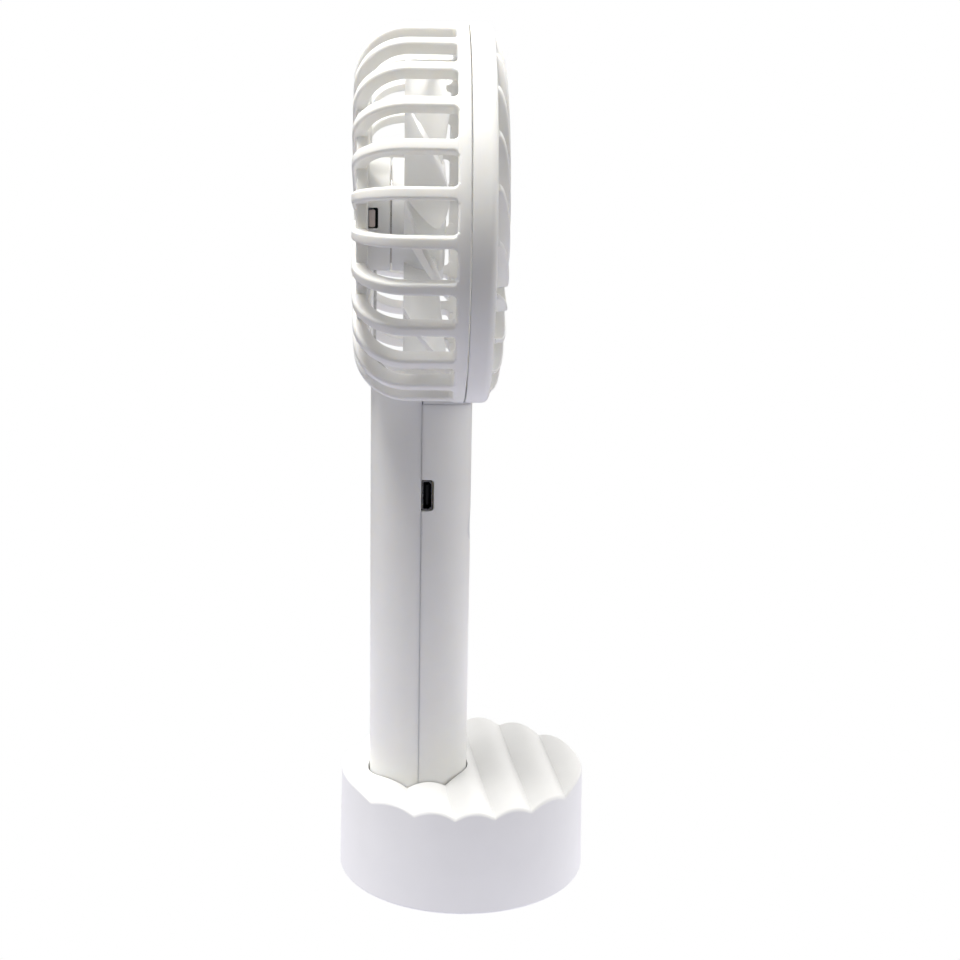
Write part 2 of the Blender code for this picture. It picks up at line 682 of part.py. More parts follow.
def make_impeller(material):
    """Hub cup over the motor, with its blades."""
    inner = HUB_RADIUS - HUB_WALL
    boss = 2.4 * MM
    boss_back = 0.6 * MM
    ceiling = 4.2 * MM
    profile = [
        (HUB_BACK, inner), (HUB_BACK, HUB_RADIUS), (4.0 * MM, HUB_RADIUS),
        (5.4 * MM, HUB_RADIUS - 1.2 * MM), (HUB_FRONT, HUB_RADIUS - 5 * MM),
        (HUB_FRONT, SHAFT_BORE), (boss_back, SHAFT_BORE), (boss_back, boss), (ceiling, boss),
        (ceiling, inner - 2 * MM), (2.8 * MM, inner),
    ]
    impeller = turned("impeller", profile, HEAD_CENTRE, X_AXIS, 36, material)
    bm = bmesh.new()
    for i in range(BLADE_COUNT):
        add_blade(bm, BLADE_START + 2 * pi * i / BLADE_COUNT)
    combine(impeller, "UNION", finish_object("impeller_blades", bm))


def make_motor_holder(material):
    """The cup that holds the motor, with a notch at each side for a terminal and one at its foot."""
    inner = MOTOR_RADIUS + GAP
    floor = HOLDER_BACK + HOLDER_FLOOR
    profile = [
        (HOLDER_BACK, 0.0), (HOLDER_BACK, HOLDER_RADIUS), (HOLDER_FRONT, HOLDER_RADIUS),
        (HOLDER_FRONT, inner), (floor, inner), (floor, 0.0),
    ]
    holder = turned("motor_holder", profile, HEAD_CENTRE, X_AXIS, 36, material)
    front = HANDLE_X + NOTCH_FRONT
    near, far = 9 * MM, 16 * MM
    middle = HEAD_Z + SIDE_NOTCH_MIDDLE
    for name, low_y, high_y in (("positive", -far, -near), ("negative", near, far)):
        combine(holder, "DIFFERENCE", block(
            f"{name}_notch",
            (HANDLE_X + HOLDER_BACK - MM, low_y, middle - SIDE_NOTCH_HALF),
            (front, high_y, middle + SIDE_NOTCH_HALF),
        ))
    combine(holder, "DIFFERENCE", block(
        "foot_notch",
        (HANDLE_X + FOOT_NOTCH_BACK, -FOOT_NOTCH_HALF, HEAD_Z - far),
        (front, FOOT_NOTCH_HALF, HEAD_Z - near),
    ))


def make_magnet(name, middle, material):
    """One curved magnet inside the motor's can."""
    spread = radians(65)
    steps = 10
    angles = [middle - spread + 2 * spread * i / steps for i in range(steps + 1)]
    sections = []
    for along in (MAGNET_BACK, MAGNET_FRONT):
        ring = [head_point(along, MAGNET_OUTER, a) for a in angles]
        ring += [head_point(along, MAGNET_INNER, a) for a in reversed(angles)]
        sections.append(ring)
    bm = bmesh.new()
    skin_sections(bm, sections)
    finish_object(name, bm, material)


def make_armature(material):
    """The wound core on the shaft, with three wide poles."""
    bm = bmesh.new()
    sections = []
    for along in (CORE_BACK, CORE_FRONT):
        outline = []
        for pole in range(3):
            middle = 2 * pi * pole / 3
            outline += [(CORE_RADIUS, middle + radians(a)) for a in (-48, -24, 0, 24, 48)]
            outline.append((CORE_WAIST, middle + radians(60)))
        sections.append([head_point(along, radius, angle) for radius, angle in outline])
    skin_sections(bm, sections)
    core = finish_object("motor_armature", bm, material)
    bore = cylinder("armature_bore", HEAD_CENTRE, X_AXIS, -12 * MM, 0.0, SHAFT_BORE, 16)
    combine(core, "DIFFERENCE", bore)


def make_terminal(name, side, material):
    """A terminal strip: a face that fills the cup's notch and a leg bent in behind the end cap."""
    middle = HEAD_Z + SIDE_NOTCH_MIDDLE
    inner = TERMINAL_REACH - TERMINAL_THICKNESS
    leg_end = 9.6 * MM
    leg_back = MOTOR_BACK - GAP - TERMINAL_THICKNESS

    def strip(strip_name, start, end, first_y, last_y, low, high):
        ys = sorted((side * first_y, side * last_y))
        return block(
            strip_name, (HANDLE_X + start, ys[0], low), (HANDLE_X + end, ys[1], high), material
        )

    face = strip(
        name, TERMINAL_BACK, TERMINAL_FRONT, inner, TERMINAL_REACH,
        middle - SIDE_NOTCH_HALF + GAP, middle + SIDE_NOTCH_HALF - 0.6 * MM,
    )
    leg = strip(
        f"{name}_leg", leg_back, leg_back + TERMINAL_THICKNESS, leg_end, inner + 0.1 * MM,
        middle - MM, middle + MM,
    )
    combine(face, "UNION", leg)


def make_motor(materials):
    """The direct-current motor: can, end cap, terminals, bushes, magnets, shaft and wound core."""
    steel, bronze = materials["steel"], materials["bronze"]
    wall = MOTOR_WALL
    eye = BUSH_RADIUS + GAP
    can_back = MOTOR_BACK + 1.8 * MM
    can_profile = [
        (can_back, MOTOR_RADIUS - wall), (can_back, MOTOR_RADIUS),
        (MOTOR_FRONT - 0.6 * MM, MOTOR_RADIUS), (MOTOR_FRONT, MOTOR_RADIUS - 0.6 * MM),
        (MOTOR_FRONT, eye), (MOTOR_FRONT - wall, eye),
        (MOTOR_FRONT - wall, MOTOR_RADIUS - 2 * wall),
        (MOTOR_FRONT - 2 * wall, MOTOR_RADIUS - wall),
    ]
    turned("motor_can", can_profile, HEAD_CENTRE, X_AXIS, 36, steel)
    cap_front = can_back - GAP
    cap_rim = MOTOR_RADIUS - 0.2 * MM
    cap_profile = [
        (MOTOR_BACK, eye), (MOTOR_BACK, MOTOR_CAP_RADIUS), (MOTOR_CAP_STEP, MOTOR_CAP_RADIUS),
        (MOTOR_CAP_STEP, cap_rim), (cap_front, cap_rim), (cap_front, eye),
    ]
    black = materials["black_plastic"]
    turned("motor_end_cap", cap_profile, HEAD_CENTRE, X_AXIS, 36, black)
    for name, back, front in (("front", -2.2 * MM, 0.2 * MM), ("rear", -12.3 * MM, -10.5 * MM)):
        tube(
            f"motor_bush_{name}", HEAD_CENTRE, X_AXIS, back, front, SHAFT_BORE, BUSH_RADIUS, 16,
            bronze,
        )
    make_magnet("motor_magnet_upper", pi / 2, materials["magnet"])
    make_magnet("motor_magnet_lower", -pi / 2, materials["magnet"])
    make_armature(materials["copper"])
    cylinder(
        "motor_shaft", HEAD_CENTRE, X_AXIS, SHAFT_BACK, SHAFT_FRONT, SHAFT_RADIUS, 16, steel
    )
    make_terminal("motor_terminal_positive", -1, materials["terminal_metal"])
    make_terminal("motor_terminal_negative", 1, materials["terminal_metal"])


# ---------------------------------------------------------------- electrics
def make_battery(materials):
    """The cell, its two welded tabs and its two leads."""
    axis = Vector((HANDLE_X, 0.0, 0.0))
    top = CELL_BOTTOM_Z + CELL_LENGTH
    edge = 0.5 * MM
    profile = [
        (CELL_BOTTOM_Z, 0.0), (CELL_BOTTOM_Z, CELL_RADIUS - edge),
        (CELL_BOTTOM_Z + edge, CELL_RADIUS), (top - 1.5 * MM, CELL_RADIUS),
        (top - MM, CELL_RADIUS - edge), (top - MM, 3 * MM), (top, 3 * MM), (top, 0.0),
    ]
    turned("battery_cell", profile, axis, Z_AXIS, 32, materials["cell_wrap"])
    nickel = materials["nickel"]
    for name, low in (("bottom", CELL_BOTTOM_Z - 0.6 * MM), ("top", top + GAP)):
        block(
            f"battery_tab_{name}",
            (HANDLE_X - 3 * MM, -3.5 * MM, low), (HANDLE_X + 3 * MM, 9.0 * MM, low + 0.3 * MM),
            nickel,
        )
    lead_y = CELL_RADIUS + 1.0 * MM
    run_x = HANDLE_X - 0.5 * MM
    board_x = HANDLE_X + BOARD_BACK - GAP - WIRE_RADIUS
    wire(
        "battery_wire_negative",
        [
            Vector((run_x, 9.4 * MM, CELL_BOTTOM_Z - 1.4 * MM)),
            Vector((run_x, lead_y, CELL_BOTTOM_Z)),
            Vector((run_x, lead_y, BOARD_BOTTOM_Z - 4 * MM)),
            Vector((board_x, 8 * MM, BOARD_BOTTOM_Z - MM)),
            Vector((board_x, 8 * MM, BOARD_BOTTOM_Z + 5 * MM)),
        ],
        WIRE_RADIUS, materials["wire_black"],
    )
    wire(
        "battery_wire_positive",
        [
            Vector((run_x, 0.0, top + 1.3 * MM)),
            Vector((run_x, -3 * MM, top + 2 * MM)),
            Vector((board_x, -6 * MM, BOARD_BOTTOM_Z - 1.5 * MM)),
            Vector((board_x, -6 * MM, BOARD_BOTTOM_Z + 5 * MM)),
        ],
        WIRE_RADIUS, materials["wire_red"],
    )


def make_board(materials):
    """The control board and its two screws."""
    board = block(
        "circuit_board",
        (HANDLE_X + BOARD_BACK, -BOARD_HALF_WIDTH, BOARD_BOTTOM_Z),
        (HANDLE_X + BOARD_FRONT, BOARD_HALF_WIDTH, BOARD_TOP_Z),
        materials["board_green"],
    )
    names = ("lower", "upper")
    for name, height in zip(names, BOSS_HEIGHTS):
        centre = Vector((HANDLE_X, 0.0, height))
        combine(board, "DIFFERENCE", cylinder(
            f"board_hole_{name}", centre, X_AXIS, -5 * MM, 5 * MM, MM, 12
        ))
        head = BOARD_FRONT + GAP
        profile = [
            (-6.5 * MM, 0.0), (-6.5 * MM, 0.7 * MM), (head, 0.7 * MM), (head, 1.5 * MM),
            (head + 0.6 * MM, 1.3 * MM), (head + 0.6 * MM, 0.0),
        ]
        turned(f"board_screw_{name}", profile, centre, X_AXIS, 12, materials["steel"])


def make_usb_socket(materials):
    """The charging socket: a folded metal shell and the plastic tongue inside it."""
    half = USB_HEIGHT / 2
    back, front = 0.3 * MM, 2.8 * MM
    mouth, end = -12.5 * MM, -7.4 * MM
    slope = 0.6 * MM
    wall = 0.3 * MM

    def outline(inset, y):
        tall = half - inset
        corners = [
            (back + inset, -tall), (back + inset, tall), (front - inset - slope, tall),
            (front - inset, tall - slope), (front - inset, slope - tall),
            (front - inset - slope, -tall),
        ]
        return [Vector((HANDLE_X + x, y, PORT_Z + z)) for x, z in corners]

    bm = bmesh.new()
    skin_sections(bm, [outline(0.0, mouth), outline(0.0, end)])
    shell = finish_object("usb_socket", bm, materials["steel"])
    bm = bmesh.new()
    skin_sections(bm, [outline(wall, mouth - MM), outline(wall, end - 0.5 * MM)])
    combine(shell, "DIFFERENCE", finish_object("usb_hollow", bm))
    block(
        "usb_tongue",
        (HANDLE_X + 1.2 * MM, -11.8 * MM, PORT_Z - 2.6 * MM),
        (HANDLE_X + 1.8 * MM, -8.2 * MM, PORT_Z + 2.6 * MM),
        materials["black_plastic"],
    )


def make_button(materials):
    """The power button, the switch behind it and the switch's plunger."""
    centre = Vector((HANDLE_X, 0.0, BUTTON_Z))
    seat = HANDLE_RADIUS - HANDLE_WALL
    flange_radius = BUTTON_RADIUS + 1.1 * MM
    flange_front = sqrt(seat ** 2 - flange_radius ** 2) - GAP
    stem_end = 4.9 * MM
    profile = [
        (stem_end, 0.0), (stem_end, 1.2 * MM), (flange_front - 0.9 * MM, 1.2 * MM),
        (flange_front - 0.9 * MM, flange_radius), (flange_front, flange_radius),
        (flange_front, BUTTON_RADIUS), (15 * MM, BUTTON_RADIUS), (15 * MM, 0.0),
    ]
    button = turned("power_button", profile, centre, X_AXIS, 24, materials["button_grey"])
    handle_axis = Vector((HANDLE_X, 0.0, 0.0))
    combine(button, "INTERSECT", cylinder(
        "button_face", handle_axis, Z_AXIS, BUTTON_Z - 15 * MM, BUTTON_Z + 15 * MM,
        HANDLE_RADIUS - 0.05 * MM, 96,
    ))
    half = 3.0 * MM
    switch = block(
        "button_switch",
        (HANDLE_X, -half, BUTTON_Z - half), (HANDLE_X + 3.4 * MM, half, BUTTON_Z + half),
        materials["black_plastic"],
    )
    bore_floor = 1.6 * MM
    combine(switch, "DIFFERENCE", cylinder(
        "switch_bore", centre, X_AXIS, bore_floor, 5 * MM, MM + GAP, 16
    ))
    cylinder(
        "switch_plunger", centre, X_AXIS, bore_floor + BUTTON_TRAVEL + GAP, stem_end - GAP, MM, 16,
        materials["black_plastic"],
    )


def make_lamp(materials):
    """The charging lamp on the board and the clear pin that carries its light to the surface."""
    block(
        "charge_led",
        (HANDLE_X, -0.8 * MM, LED_Z - 0.5 * MM), (HANDLE_X + 0.7 * MM, 0.8 * MM, LED_Z + 0.5 * MM),
        materials["clear"],
    )
    cylinder(
        "lamp_lens", Vector((HANDLE_X, 0.0, LED_Z)), X_AXIS, 1.1 * MM, HANDLE_RADIUS - 0.05 * MM,
        MM, 12, materials["clear"],
    )


def make_motor_wires(material):
    """The motor's leads: up through the cage's floor, in at the cup's foot, round to a terminal."""
    bend_centre = (CAGE_REAR + CAGE_CORNER, HEAD_RADIUS - CAGE_CORNER)
    for name, side in (("positive", -1.0), ("negative", 1.0)):
        y = side * MOTOR_WIRE_Y
        start_x = BOARD_BACK - GAP - WIRE_RADIUS
        points = [
            Vector((HANDLE_X + start_x, y, BOARD_TOP_Z - MM)),
            Vector((HANDLE_X - 5.5 * MM, y, BOARD_TOP_Z + 0.4 * MM)),
            Vector((HANDLE_X + WIRE_HOLE_X, y, BOARD_TOP_Z + 2 * MM)),
        ]
        for along, radius in arc(bend_centre, 8.2 * MM, radians(104), radians(172), 5):
            points.append(Vector((HANDLE_X + along, y, HEAD_Z - radius)))
        points.append(Vector((HANDLE_X + MOTOR_WIRE_X, y, HEAD_Z - 28 * MM)))
        lean = side * MOTOR_WIRE_Y / MOTOR_WIRE_TRACK
        for step in range(7):
            angle = -pi / 2 + lean + side * radians(76) * step / 6
            points.append(head_point(MOTOR_WIRE_X, MOTOR_WIRE_TRACK, angle))
        wire(f"motor_wire_{name}", points, WIRE_RADIUS, material)


# ---------------------------------------------------------------- assembly
def main():
    for obj in list(bpy.data.objects):
        bpy.data.objects.remove(obj, do_unlink=True)
    materials = make_materials()
    make_base(materials)
    make_rear_shell(materials["warm_white"])
    make_front_shell(materials["warm_white"])
    make_front_grille(materials["warm_white"])
    make_badge(materials["warm_white"])
    make_impeller(materials["blade_white"])
    make_motor_holder(materials["warm_white"])
    make_motor(materials)
    make_battery(materials)
    make_board(materials)
    make_usb_socket(materials)
    make_button(materials)
    make_lamp(materials)
    make_motor_wires(materials["wire_white"])


main()
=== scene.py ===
# Looks of the hand-held fan in its desk base: fine shells, cage, guard and blades.
import json
from math import atan2, cos, log, pi, radians, sin, sqrt, tan

import bmesh
import bpy
from mathutils import Matrix, Vector


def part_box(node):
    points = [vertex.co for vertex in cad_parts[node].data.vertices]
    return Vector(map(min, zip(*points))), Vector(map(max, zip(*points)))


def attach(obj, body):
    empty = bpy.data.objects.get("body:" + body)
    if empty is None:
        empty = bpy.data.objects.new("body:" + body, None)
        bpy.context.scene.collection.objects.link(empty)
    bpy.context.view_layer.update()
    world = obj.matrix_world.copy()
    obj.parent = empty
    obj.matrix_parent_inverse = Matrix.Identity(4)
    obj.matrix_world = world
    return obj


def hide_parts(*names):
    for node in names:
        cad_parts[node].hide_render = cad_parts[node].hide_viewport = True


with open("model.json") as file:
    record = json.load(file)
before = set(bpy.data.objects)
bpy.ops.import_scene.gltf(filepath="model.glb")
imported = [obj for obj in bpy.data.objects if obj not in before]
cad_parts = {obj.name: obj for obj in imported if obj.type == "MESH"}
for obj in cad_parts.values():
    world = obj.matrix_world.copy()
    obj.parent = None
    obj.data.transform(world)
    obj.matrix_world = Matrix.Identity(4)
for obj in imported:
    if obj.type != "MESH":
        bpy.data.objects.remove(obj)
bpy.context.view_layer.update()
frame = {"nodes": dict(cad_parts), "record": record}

MM = 0.001

# ---- places taken from the frame
JOINTS = {joint["name"]: joint for joint in frame["record"]["behaviour"]["joints"]}
HEAD = Vector(JOINTS["impeller_spin"]["pos_m"])
FRONT_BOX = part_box("front_shell")
BASE_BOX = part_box("base_shell")
BUTTON_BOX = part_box("power_button")
SOCKET_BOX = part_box("usb_socket")
LENS_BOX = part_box("lamp_lens")
TERMINAL_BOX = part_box("motor_terminal_positive")
PLATE_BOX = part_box("base_plate")

POST = Vector((HEAD.x, 0.0, 0.0))             # the handle's upright axis meets the floor here
HEAD_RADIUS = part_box("front_grille")[1].y - 0.01 * MM
HANDLE_RADIUS = FRONT_BOX[1].y
HANDLE_BOTTOM = FRONT_BOX[0].z


def span_along(node):
    """Where a node starts and ends along the blowing direction, from the head's centre."""
    low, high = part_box(node)
    return low.x - HEAD.x, high.x - HEAD.x


CAGE_BACK, CAGE_FRONT = span_along("rear_shell")
GUARD_BACK, GUARD_FRONT = span_along("front_grille")
CUP_BACK, CUP_FRONT = span_along("motor_holder")
HUB_BACK, BLADE_FRONT = span_along("impeller")
HUB_FRONT = BLADE_FRONT - 0.8 * MM

BUTTON_HEIGHT = ((BUTTON_BOX[0] + BUTTON_BOX[1]) / 2).z
LENS_HEIGHT = ((LENS_BOX[0] + LENS_BOX[1]) / 2).z
NECK_LOW, NECK_HIGH = HEAD.z - 60 * MM, HEAD.z - 30 * MM    # heights below and above the neck

# ---- finer sizes
CORE = 0.2 * MM                                # turned solids close with a flat face this far out
REACH = 60 * MM                                # cutters run this far, past everything
WINDOW_FRONT = CAGE_FRONT - 3.0 * MM
RING_DEPTH = 3.2 * MM
RIB_COUNT = 26
RIB_WIDTH = 3.1 * MM
RIB_DEPTH = 3.5 * MM
RIB_SINK = 0.05 * MM                           # ribs lie this far under the ring's skin
WINDOW_FILLET = 1.2 * MM
CAGE_CORNER = 13.3 * MM
DISC_RADIUS = 17.0 * MM
HOOP = (-16.1 * MM, -13.3 * MM, 31.6 * MM, 34.2 * MM)
HANDLE_WALL = 1.8 * MM
SEAM = 0.02 * MM                               # half of the line between the handle's halves
COLLAR = 0.6 * MM                              # lip of the rear shell between the ring and the handle
GUARD_EDGE = 16.6 * MM
VANE_COUNT = 22
VANE_THICKNESS = 1.5 * MM
VANE_DEPTH = 4.8 * MM
VANE_RIM = 44.9 * MM
VANE_CREST = 20.1 * MM
VANE_DIP = 3.1 * MM
GUARD_HUB = 13.0 * MM
CUP_RADIUS = 14.0 * MM
BLADE_COUNT = 9
BLADE_BACK = -4.9 * MM
BLADE_TIP = 38.5 * MM
BLADE_ROOT_CUT = 3.3 * MM                      # the front edge is cut back by this at the hub
BLADE_THICKNESS = 1.1 * MM
BLADE_CAMBER = 0.4 * MM
BLADE_BACK_CORNER = 1.0 * MM                   # roundings of a blade's tip
BLADE_FRONT_CORNER = 4.0 * MM
BLADE_START = radians(11.6)
BLADE_SWEEP = radians(-28.3)                   # the tip trails the root
ROOT_PITCH = 0.076 / MM                        # radians for each metre along the axis
TIP_PITCH = 0.056 / MM
RIDGE_PITCH = 10.2 * MM
RIDGE_START = -26.4 * MM
RIDGE_RISE = 1.8 * MM
RIDGE_TURN = radians(5.9)
BASE_TOP_RADIUS = BASE_BOX[1].y - 0.5 * MM
BASE_RIM = 0.9 * MM
BASE_WALL = 2.4 * MM
SOCKET_RADIUS = HANDLE_RADIUS + 0.4 * MM
PORT_FRONT = 3.2 * MM
PORT_HALF = 4.1 * MM
BUTTON_RADIUS = 4.3 * MM
BUTTON_SOFT = 0.2 * MM
BUTTON_DISH = 0.12 * MM

# the studio: distances in metres from the object's middle, and strengths
FLOOR_INNER, FLOOR_OUTER = 0.16, 0.3
FLOOR_NEAR, FLOOR_FAR = 1.0, 0.12
FLOOR_COLOUR = (0.9, 0.885, 1.0, 1.0)
WORLD_COLOUR = (1.0, 0.987, 0.955, 1.0)
WORLD_CURVES = (                               # brightness along each axis of the view direction
    ("Y", [(-1.0, 0.0), (0.0, 1.7), (1.0, 1.9)]),
    ("Z", [(-1.0, 1.0), (0.0, 1.0), (0.5, 0.75), (1.0, 0.0)]),
    ("X", [(-1.0, 0.7), (0.0, 1.0), (1.0, 1.26)]),
)
KEY_RISE, KEY_TURN = radians(77), radians(-58)
KEY_DISTANCE, KEY_SIZE, KEY_POWER = 0.9, 0.35, 9.7
KEY_COLOUR = (1.0, 0.985, 0.95)
CAMERA_YAW, CAMERA_PITCH, CAMERA_ROLL = radians(2.43), radians(15.55), radians(1.07)
CAMERA_PLACE = (-17.33 * MM, -488.56 * MM, 243.86 * MM)
CAMERA_LENS = 73.1

HEAD_STEPS = RIB_COUNT * 8
HANDLE_STEPS = 144
BASE_STEPS = 192
BUTTON_STEPS = 72
CHORD_STEPS = 18
SHARP_ANGLE = radians(32)                      # edges that turn more than this stay sharp


# ---- outlines
def rounded(corners, steps=4):
    """A closed outline through (x, y, radius) corners, with an arc at each corner that has a radius."""
    outline = []
    for i, (x, y, radius) in enumerate(corners):
        here = Vector((x, y))
        if radius == 0.0:
            outline.append(here)
            continue
        back = (Vector(corners[i - 1][:2]) - here).normalized()
        ahead = (Vector(corners[(i + 1) % len(corners)][:2]) - here).normalized()
        half = back.angle(ahead) / 2
        centre = here + (back + ahead).normalized() * radius / sin(half)
        start = here + back * radius / tan(half) - centre
        end = here + ahead * radius / tan(half) - centre
        first = atan2(start.y, start.x)
        turn = (atan2(end.y, end.x) - first + pi) % (2 * pi) - pi
        for step in range(steps + 1):
            angle = first + turn * step / steps
            outline.append(centre + Vector((cos(angle), sin(angle))) * radius)
    return outline


def quarter_round(steps):
    """(1 - cos, 1 - sin) of an angle that runs from 0 to a quarter turn."""
    angles = [pi / 2 * step / steps for step in range(steps + 1)]
    return [(1 - cos(angle), 1 - sin(angle)) for angle in angles]


def soft_block(low, high, soft, back_soft):
    """A rectangle's outline between two (x, y) corners; its low-x corners have back_soft."""
    return rounded([
        (low[0], low[1], back_soft), (high[0], low[1], soft),
        (high[0], high[1], soft), (low[0], high[1], back_soft),
    ])


def head_place(along, radius, angle):
    """A point about the head's axis; the angle turns from +Y towards +Z."""
    return HEAD + Vector((along, radius * cos(angle), radius * sin(angle)))


def upright(centre):
    """Places (height, radius, angle) about an upright axis through a centre."""
    def place(height, radius, angle):
        return centre + Vector((radius * cos(angle), radius * sin(angle), height))
    return place


def level(height):
    """Places (along, radius, angle) about a level axis that crosses the handle at one height."""
    centre = Vector((HEAD.x, 0.0, height))

    def place(along, radius, angle):
        return centre + Vector((along, radius * cos(angle), radius * sin(angle)))
    return place


# ---- mesh work
def skin(bm, sections, closed=False):
    """Skins a row of equal point loops; the row closes on itself or gets an end face at each end."""
    loops = [[bm.verts.new(point) for point in section] for section in sections]
    pairs = list(zip(loops, loops[1:]))
    if closed:
        pairs.append((loops[-1], loops[0]))
    for first, second in pairs:
        for i in range(len(first)):
            j = (i + 1) % len(first)
            bm.faces.new((first[i], first[j], second[j], second[i]))
    if not closed:
        bm.faces.new(loops[0])
        bm.faces.new(reversed(loops[-1]))


def skinned(sections, closed=False):
    """A new body skinned over one row of point loops."""
    bm = bmesh.new()
    skin(bm, sections, closed)
    return bm


def turned(profile, place, steps):
    """A loop of points round an axis for each (along, radius) point of a profile."""
    angles = [2 * pi * i / steps for i in range(steps)]
    return [[place(along, radius, angle) for angle in angles] for along, radius in profile]


def solid_body(profile, place, steps):
    """Turns an open profile round an axis and closes both ends with a flat face."""
    return skinned(turned(profile, place, steps))


def head_solid(profile):
    return solid_body(profile, head_place, HEAD_STEPS)


def head_ring(outline):
    """Turns a closed (along, radius) outline once round the head's axis."""
    angles = [2 * pi * i / HEAD_STEPS for i in range(HEAD_STEPS)]
    return skinned([[head_place(*spot, angle) for spot in outline] for angle in angles], True)


def bar_body(start, end, radius, place, steps):
    """A plain round bar, for cutting and filling."""
    return solid_body([(start, radius), (end, radius)], place, steps)


def head_bar(radius):
    """A round bar that runs right through the head."""
    return bar_body(-REACH, REACH, radius, head_place, HEAD_STEPS)


def post_bar(low, high, radius):
    """A round bar on the handle's upright axis."""
    return bar_body(low, high, radius, upright(POST), HANDLE_STEPS)


def from_side(a, b, depth):
    """A point of an outline drawn in the side view: a is x, b is the height."""
    return Vector((a, depth, b))


def slab_body(outline, start, end, place=from_side):
    """An outline of (a, b) points drawn out from start to end; place(a, b, depth) gives the point."""
    return skinned([[place(a, b, depth) for a, b in outline] for depth in (start, end)])


def box_body(low, high):
    """A box between two corners, for cutting."""
    outline = [(low[0], low[2]), (high[0], low[2]), (high[0], high[2]), (low[0], high[2])]
    return slab_body(outline, low[1], high[1])


def side_block(start, end):
    """A block all across the fan between two distances from the handle's seam."""
    return box_body((HEAD.x + start, -REACH, -REACH), (HEAD.x + end, REACH, 5 * REACH))


def to_object(name, bm):
    """A linked object from a bmesh, with its faces pointing out."""
    bmesh.ops.recalc_face_normals(bm, faces=bm.faces)
    mesh = bpy.data.meshes.new(name)
    bm.to_mesh(mesh)
    bm.free()
    obj = bpy.data.objects.new(name, mesh)
    bpy.context.scene.collection.objects.link(obj)
    return obj


def carve(name, first, steps):
    """Joins bodies to a first one or takes them from it; steps is a list of (operation, body)."""
    obj = to_object(name, first)
    tools = []
    for number, (operation, body) in enumerate(steps):
        tool = to_object(f"{name}_tool_{number}", body)
        modifier = obj.modifiers.new("carve", "BOOLEAN")
        modifier.operation = operation
        modifier.solver = "EXACT"
        modifier.object = tool
        tools.append(tool)
    bpy.context.view_layer.update()
    evaluated = obj.evaluated_get(bpy.context.evaluated_depsgraph_get())
    mesh = bpy.data.meshes.new_from_object(evaluated)
    bm = bmesh.new()
    bm.from_mesh(mesh)
    for extra in [obj] + tools:
        bpy.data.objects.remove(extra, do_unlink=True)
    bpy.data.meshes.remove(mesh)
    bmesh.ops.remove_doubles(bm, verts=bm.verts, dist=0.002 * MM)
    bmesh.ops.dissolve_degenerate(bm, edges=bm.edges, dist=0.001 * MM)
    return bm


def finish_piece(name, bm, body, slot, node, materials):
    """Shades a piece, gives it its finish, puts it on its body and lets it replace a CAD node."""
    piece = to_object(name, bm)
    piece.data.shade_smooth()
    piece.data.set_sharp_from_angle(angle=SHARP_ANGLE)
    piece.data.materials.clear()
    piece.data.materials.append(materials[slot])
    weighted = piece.modifiers.new("weighted_normals", "WEIGHTED_NORMAL")
    weighted.keep_sharp = True
    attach(piece, body)
    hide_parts(node)


# ---- materials
def fill(tree, node, inputs):
    """Sets each input of a node to a value, or links it to another node's output."""
    for label, value in inputs.items():
        if isinstance(value, bpy.types.NodeSocket):
            tree.links.new(value, node.inputs[label])
        else:
            node.inputs[label].default_value = value


def add(tree, kind, inputs):
    node = tree.nodes.new(kind)
    fill(tree, node, inputs)
    return node


def map_range(tree, source, spans):
    """Runs a value from one range to another; spans is (from low, from high, to low, to high)."""
    labels = ("From Min", "From Max", "To Min", "To Max")
    return add(tree, "ShaderNodeMapRange", {"Value": source, **dict(zip(labels, spans))})


class Recipe:
    """A Principled material and short calls that add its procedural nodes."""

    def __init__(self, name):
        self.material = bpy.data.materials.new(name)
        self.material.use_nodes = True
        self.tree = self.material.node_tree
        self.place = add(self.tree, "ShaderNodeTexCoord", {}).outputs["Object"]

    def shade(self, inputs):
        """Sets or links inputs of the material's shader."""
        fill(self.tree, self.tree.nodes["Principled BSDF"], inputs)

    def noise(self, per_metre, detail=2.0, stretch=None):
        """Noise with so many features per metre, drawn out along the axes that stretch gives."""
        source = self.place
        if stretch:
            mapping = add(self.tree, "ShaderNodeMapping", {"Vector": source, "Scale": stretch})
            source = mapping.outputs["Vector"]
        inputs = {"Vector": source, "Scale": per_metre, "Detail": detail}
        return add(self.tree, "ShaderNodeTexNoise", inputs).outputs["Fac"]

    def wave(self, per_metre, direction, distortion=0.0):
        inputs = {"Vector": self.place, "Scale": per_metre, "Distortion": distortion}
        node = add(self.tree, "ShaderNodeTexWave", inputs)
        node.bands_direction = direction
        return node.outputs["Fac"]

    def colours(self, factor, first, second, low=0.3, high=0.7):
        """The base colour runs from the first to the second colour with the factor."""
        ramp = add(self.tree, "ShaderNodeValToRGB", {"Fac": factor})
        for element, place, colour in zip(ramp.color_ramp.elements, (low, high), (first, second)):
            element.position = place
            element.color = (*colour, 1.0)
        self.shade({"Base Color": ramp.outputs["Color"]})

    def roughness(self, factor, low, high):
        span = map_range(self.tree, factor, (0.25, 0.75, low, high))
        self.shade({"Roughness": span.outputs["Result"]})

    def bump(self, factor, depth, strength=0.3):
        inputs = {"Strength": strength, "Distance": depth, "Height": factor}
        node = add(self.tree, "ShaderNodeBump", inputs)
        self.shade({"Normal": node.outputs["Normal"]})


def tone(colour, factor):
    """A colour made lighter or darker."""
    return tuple(min(1.0, channel * factor) for channel in colour)


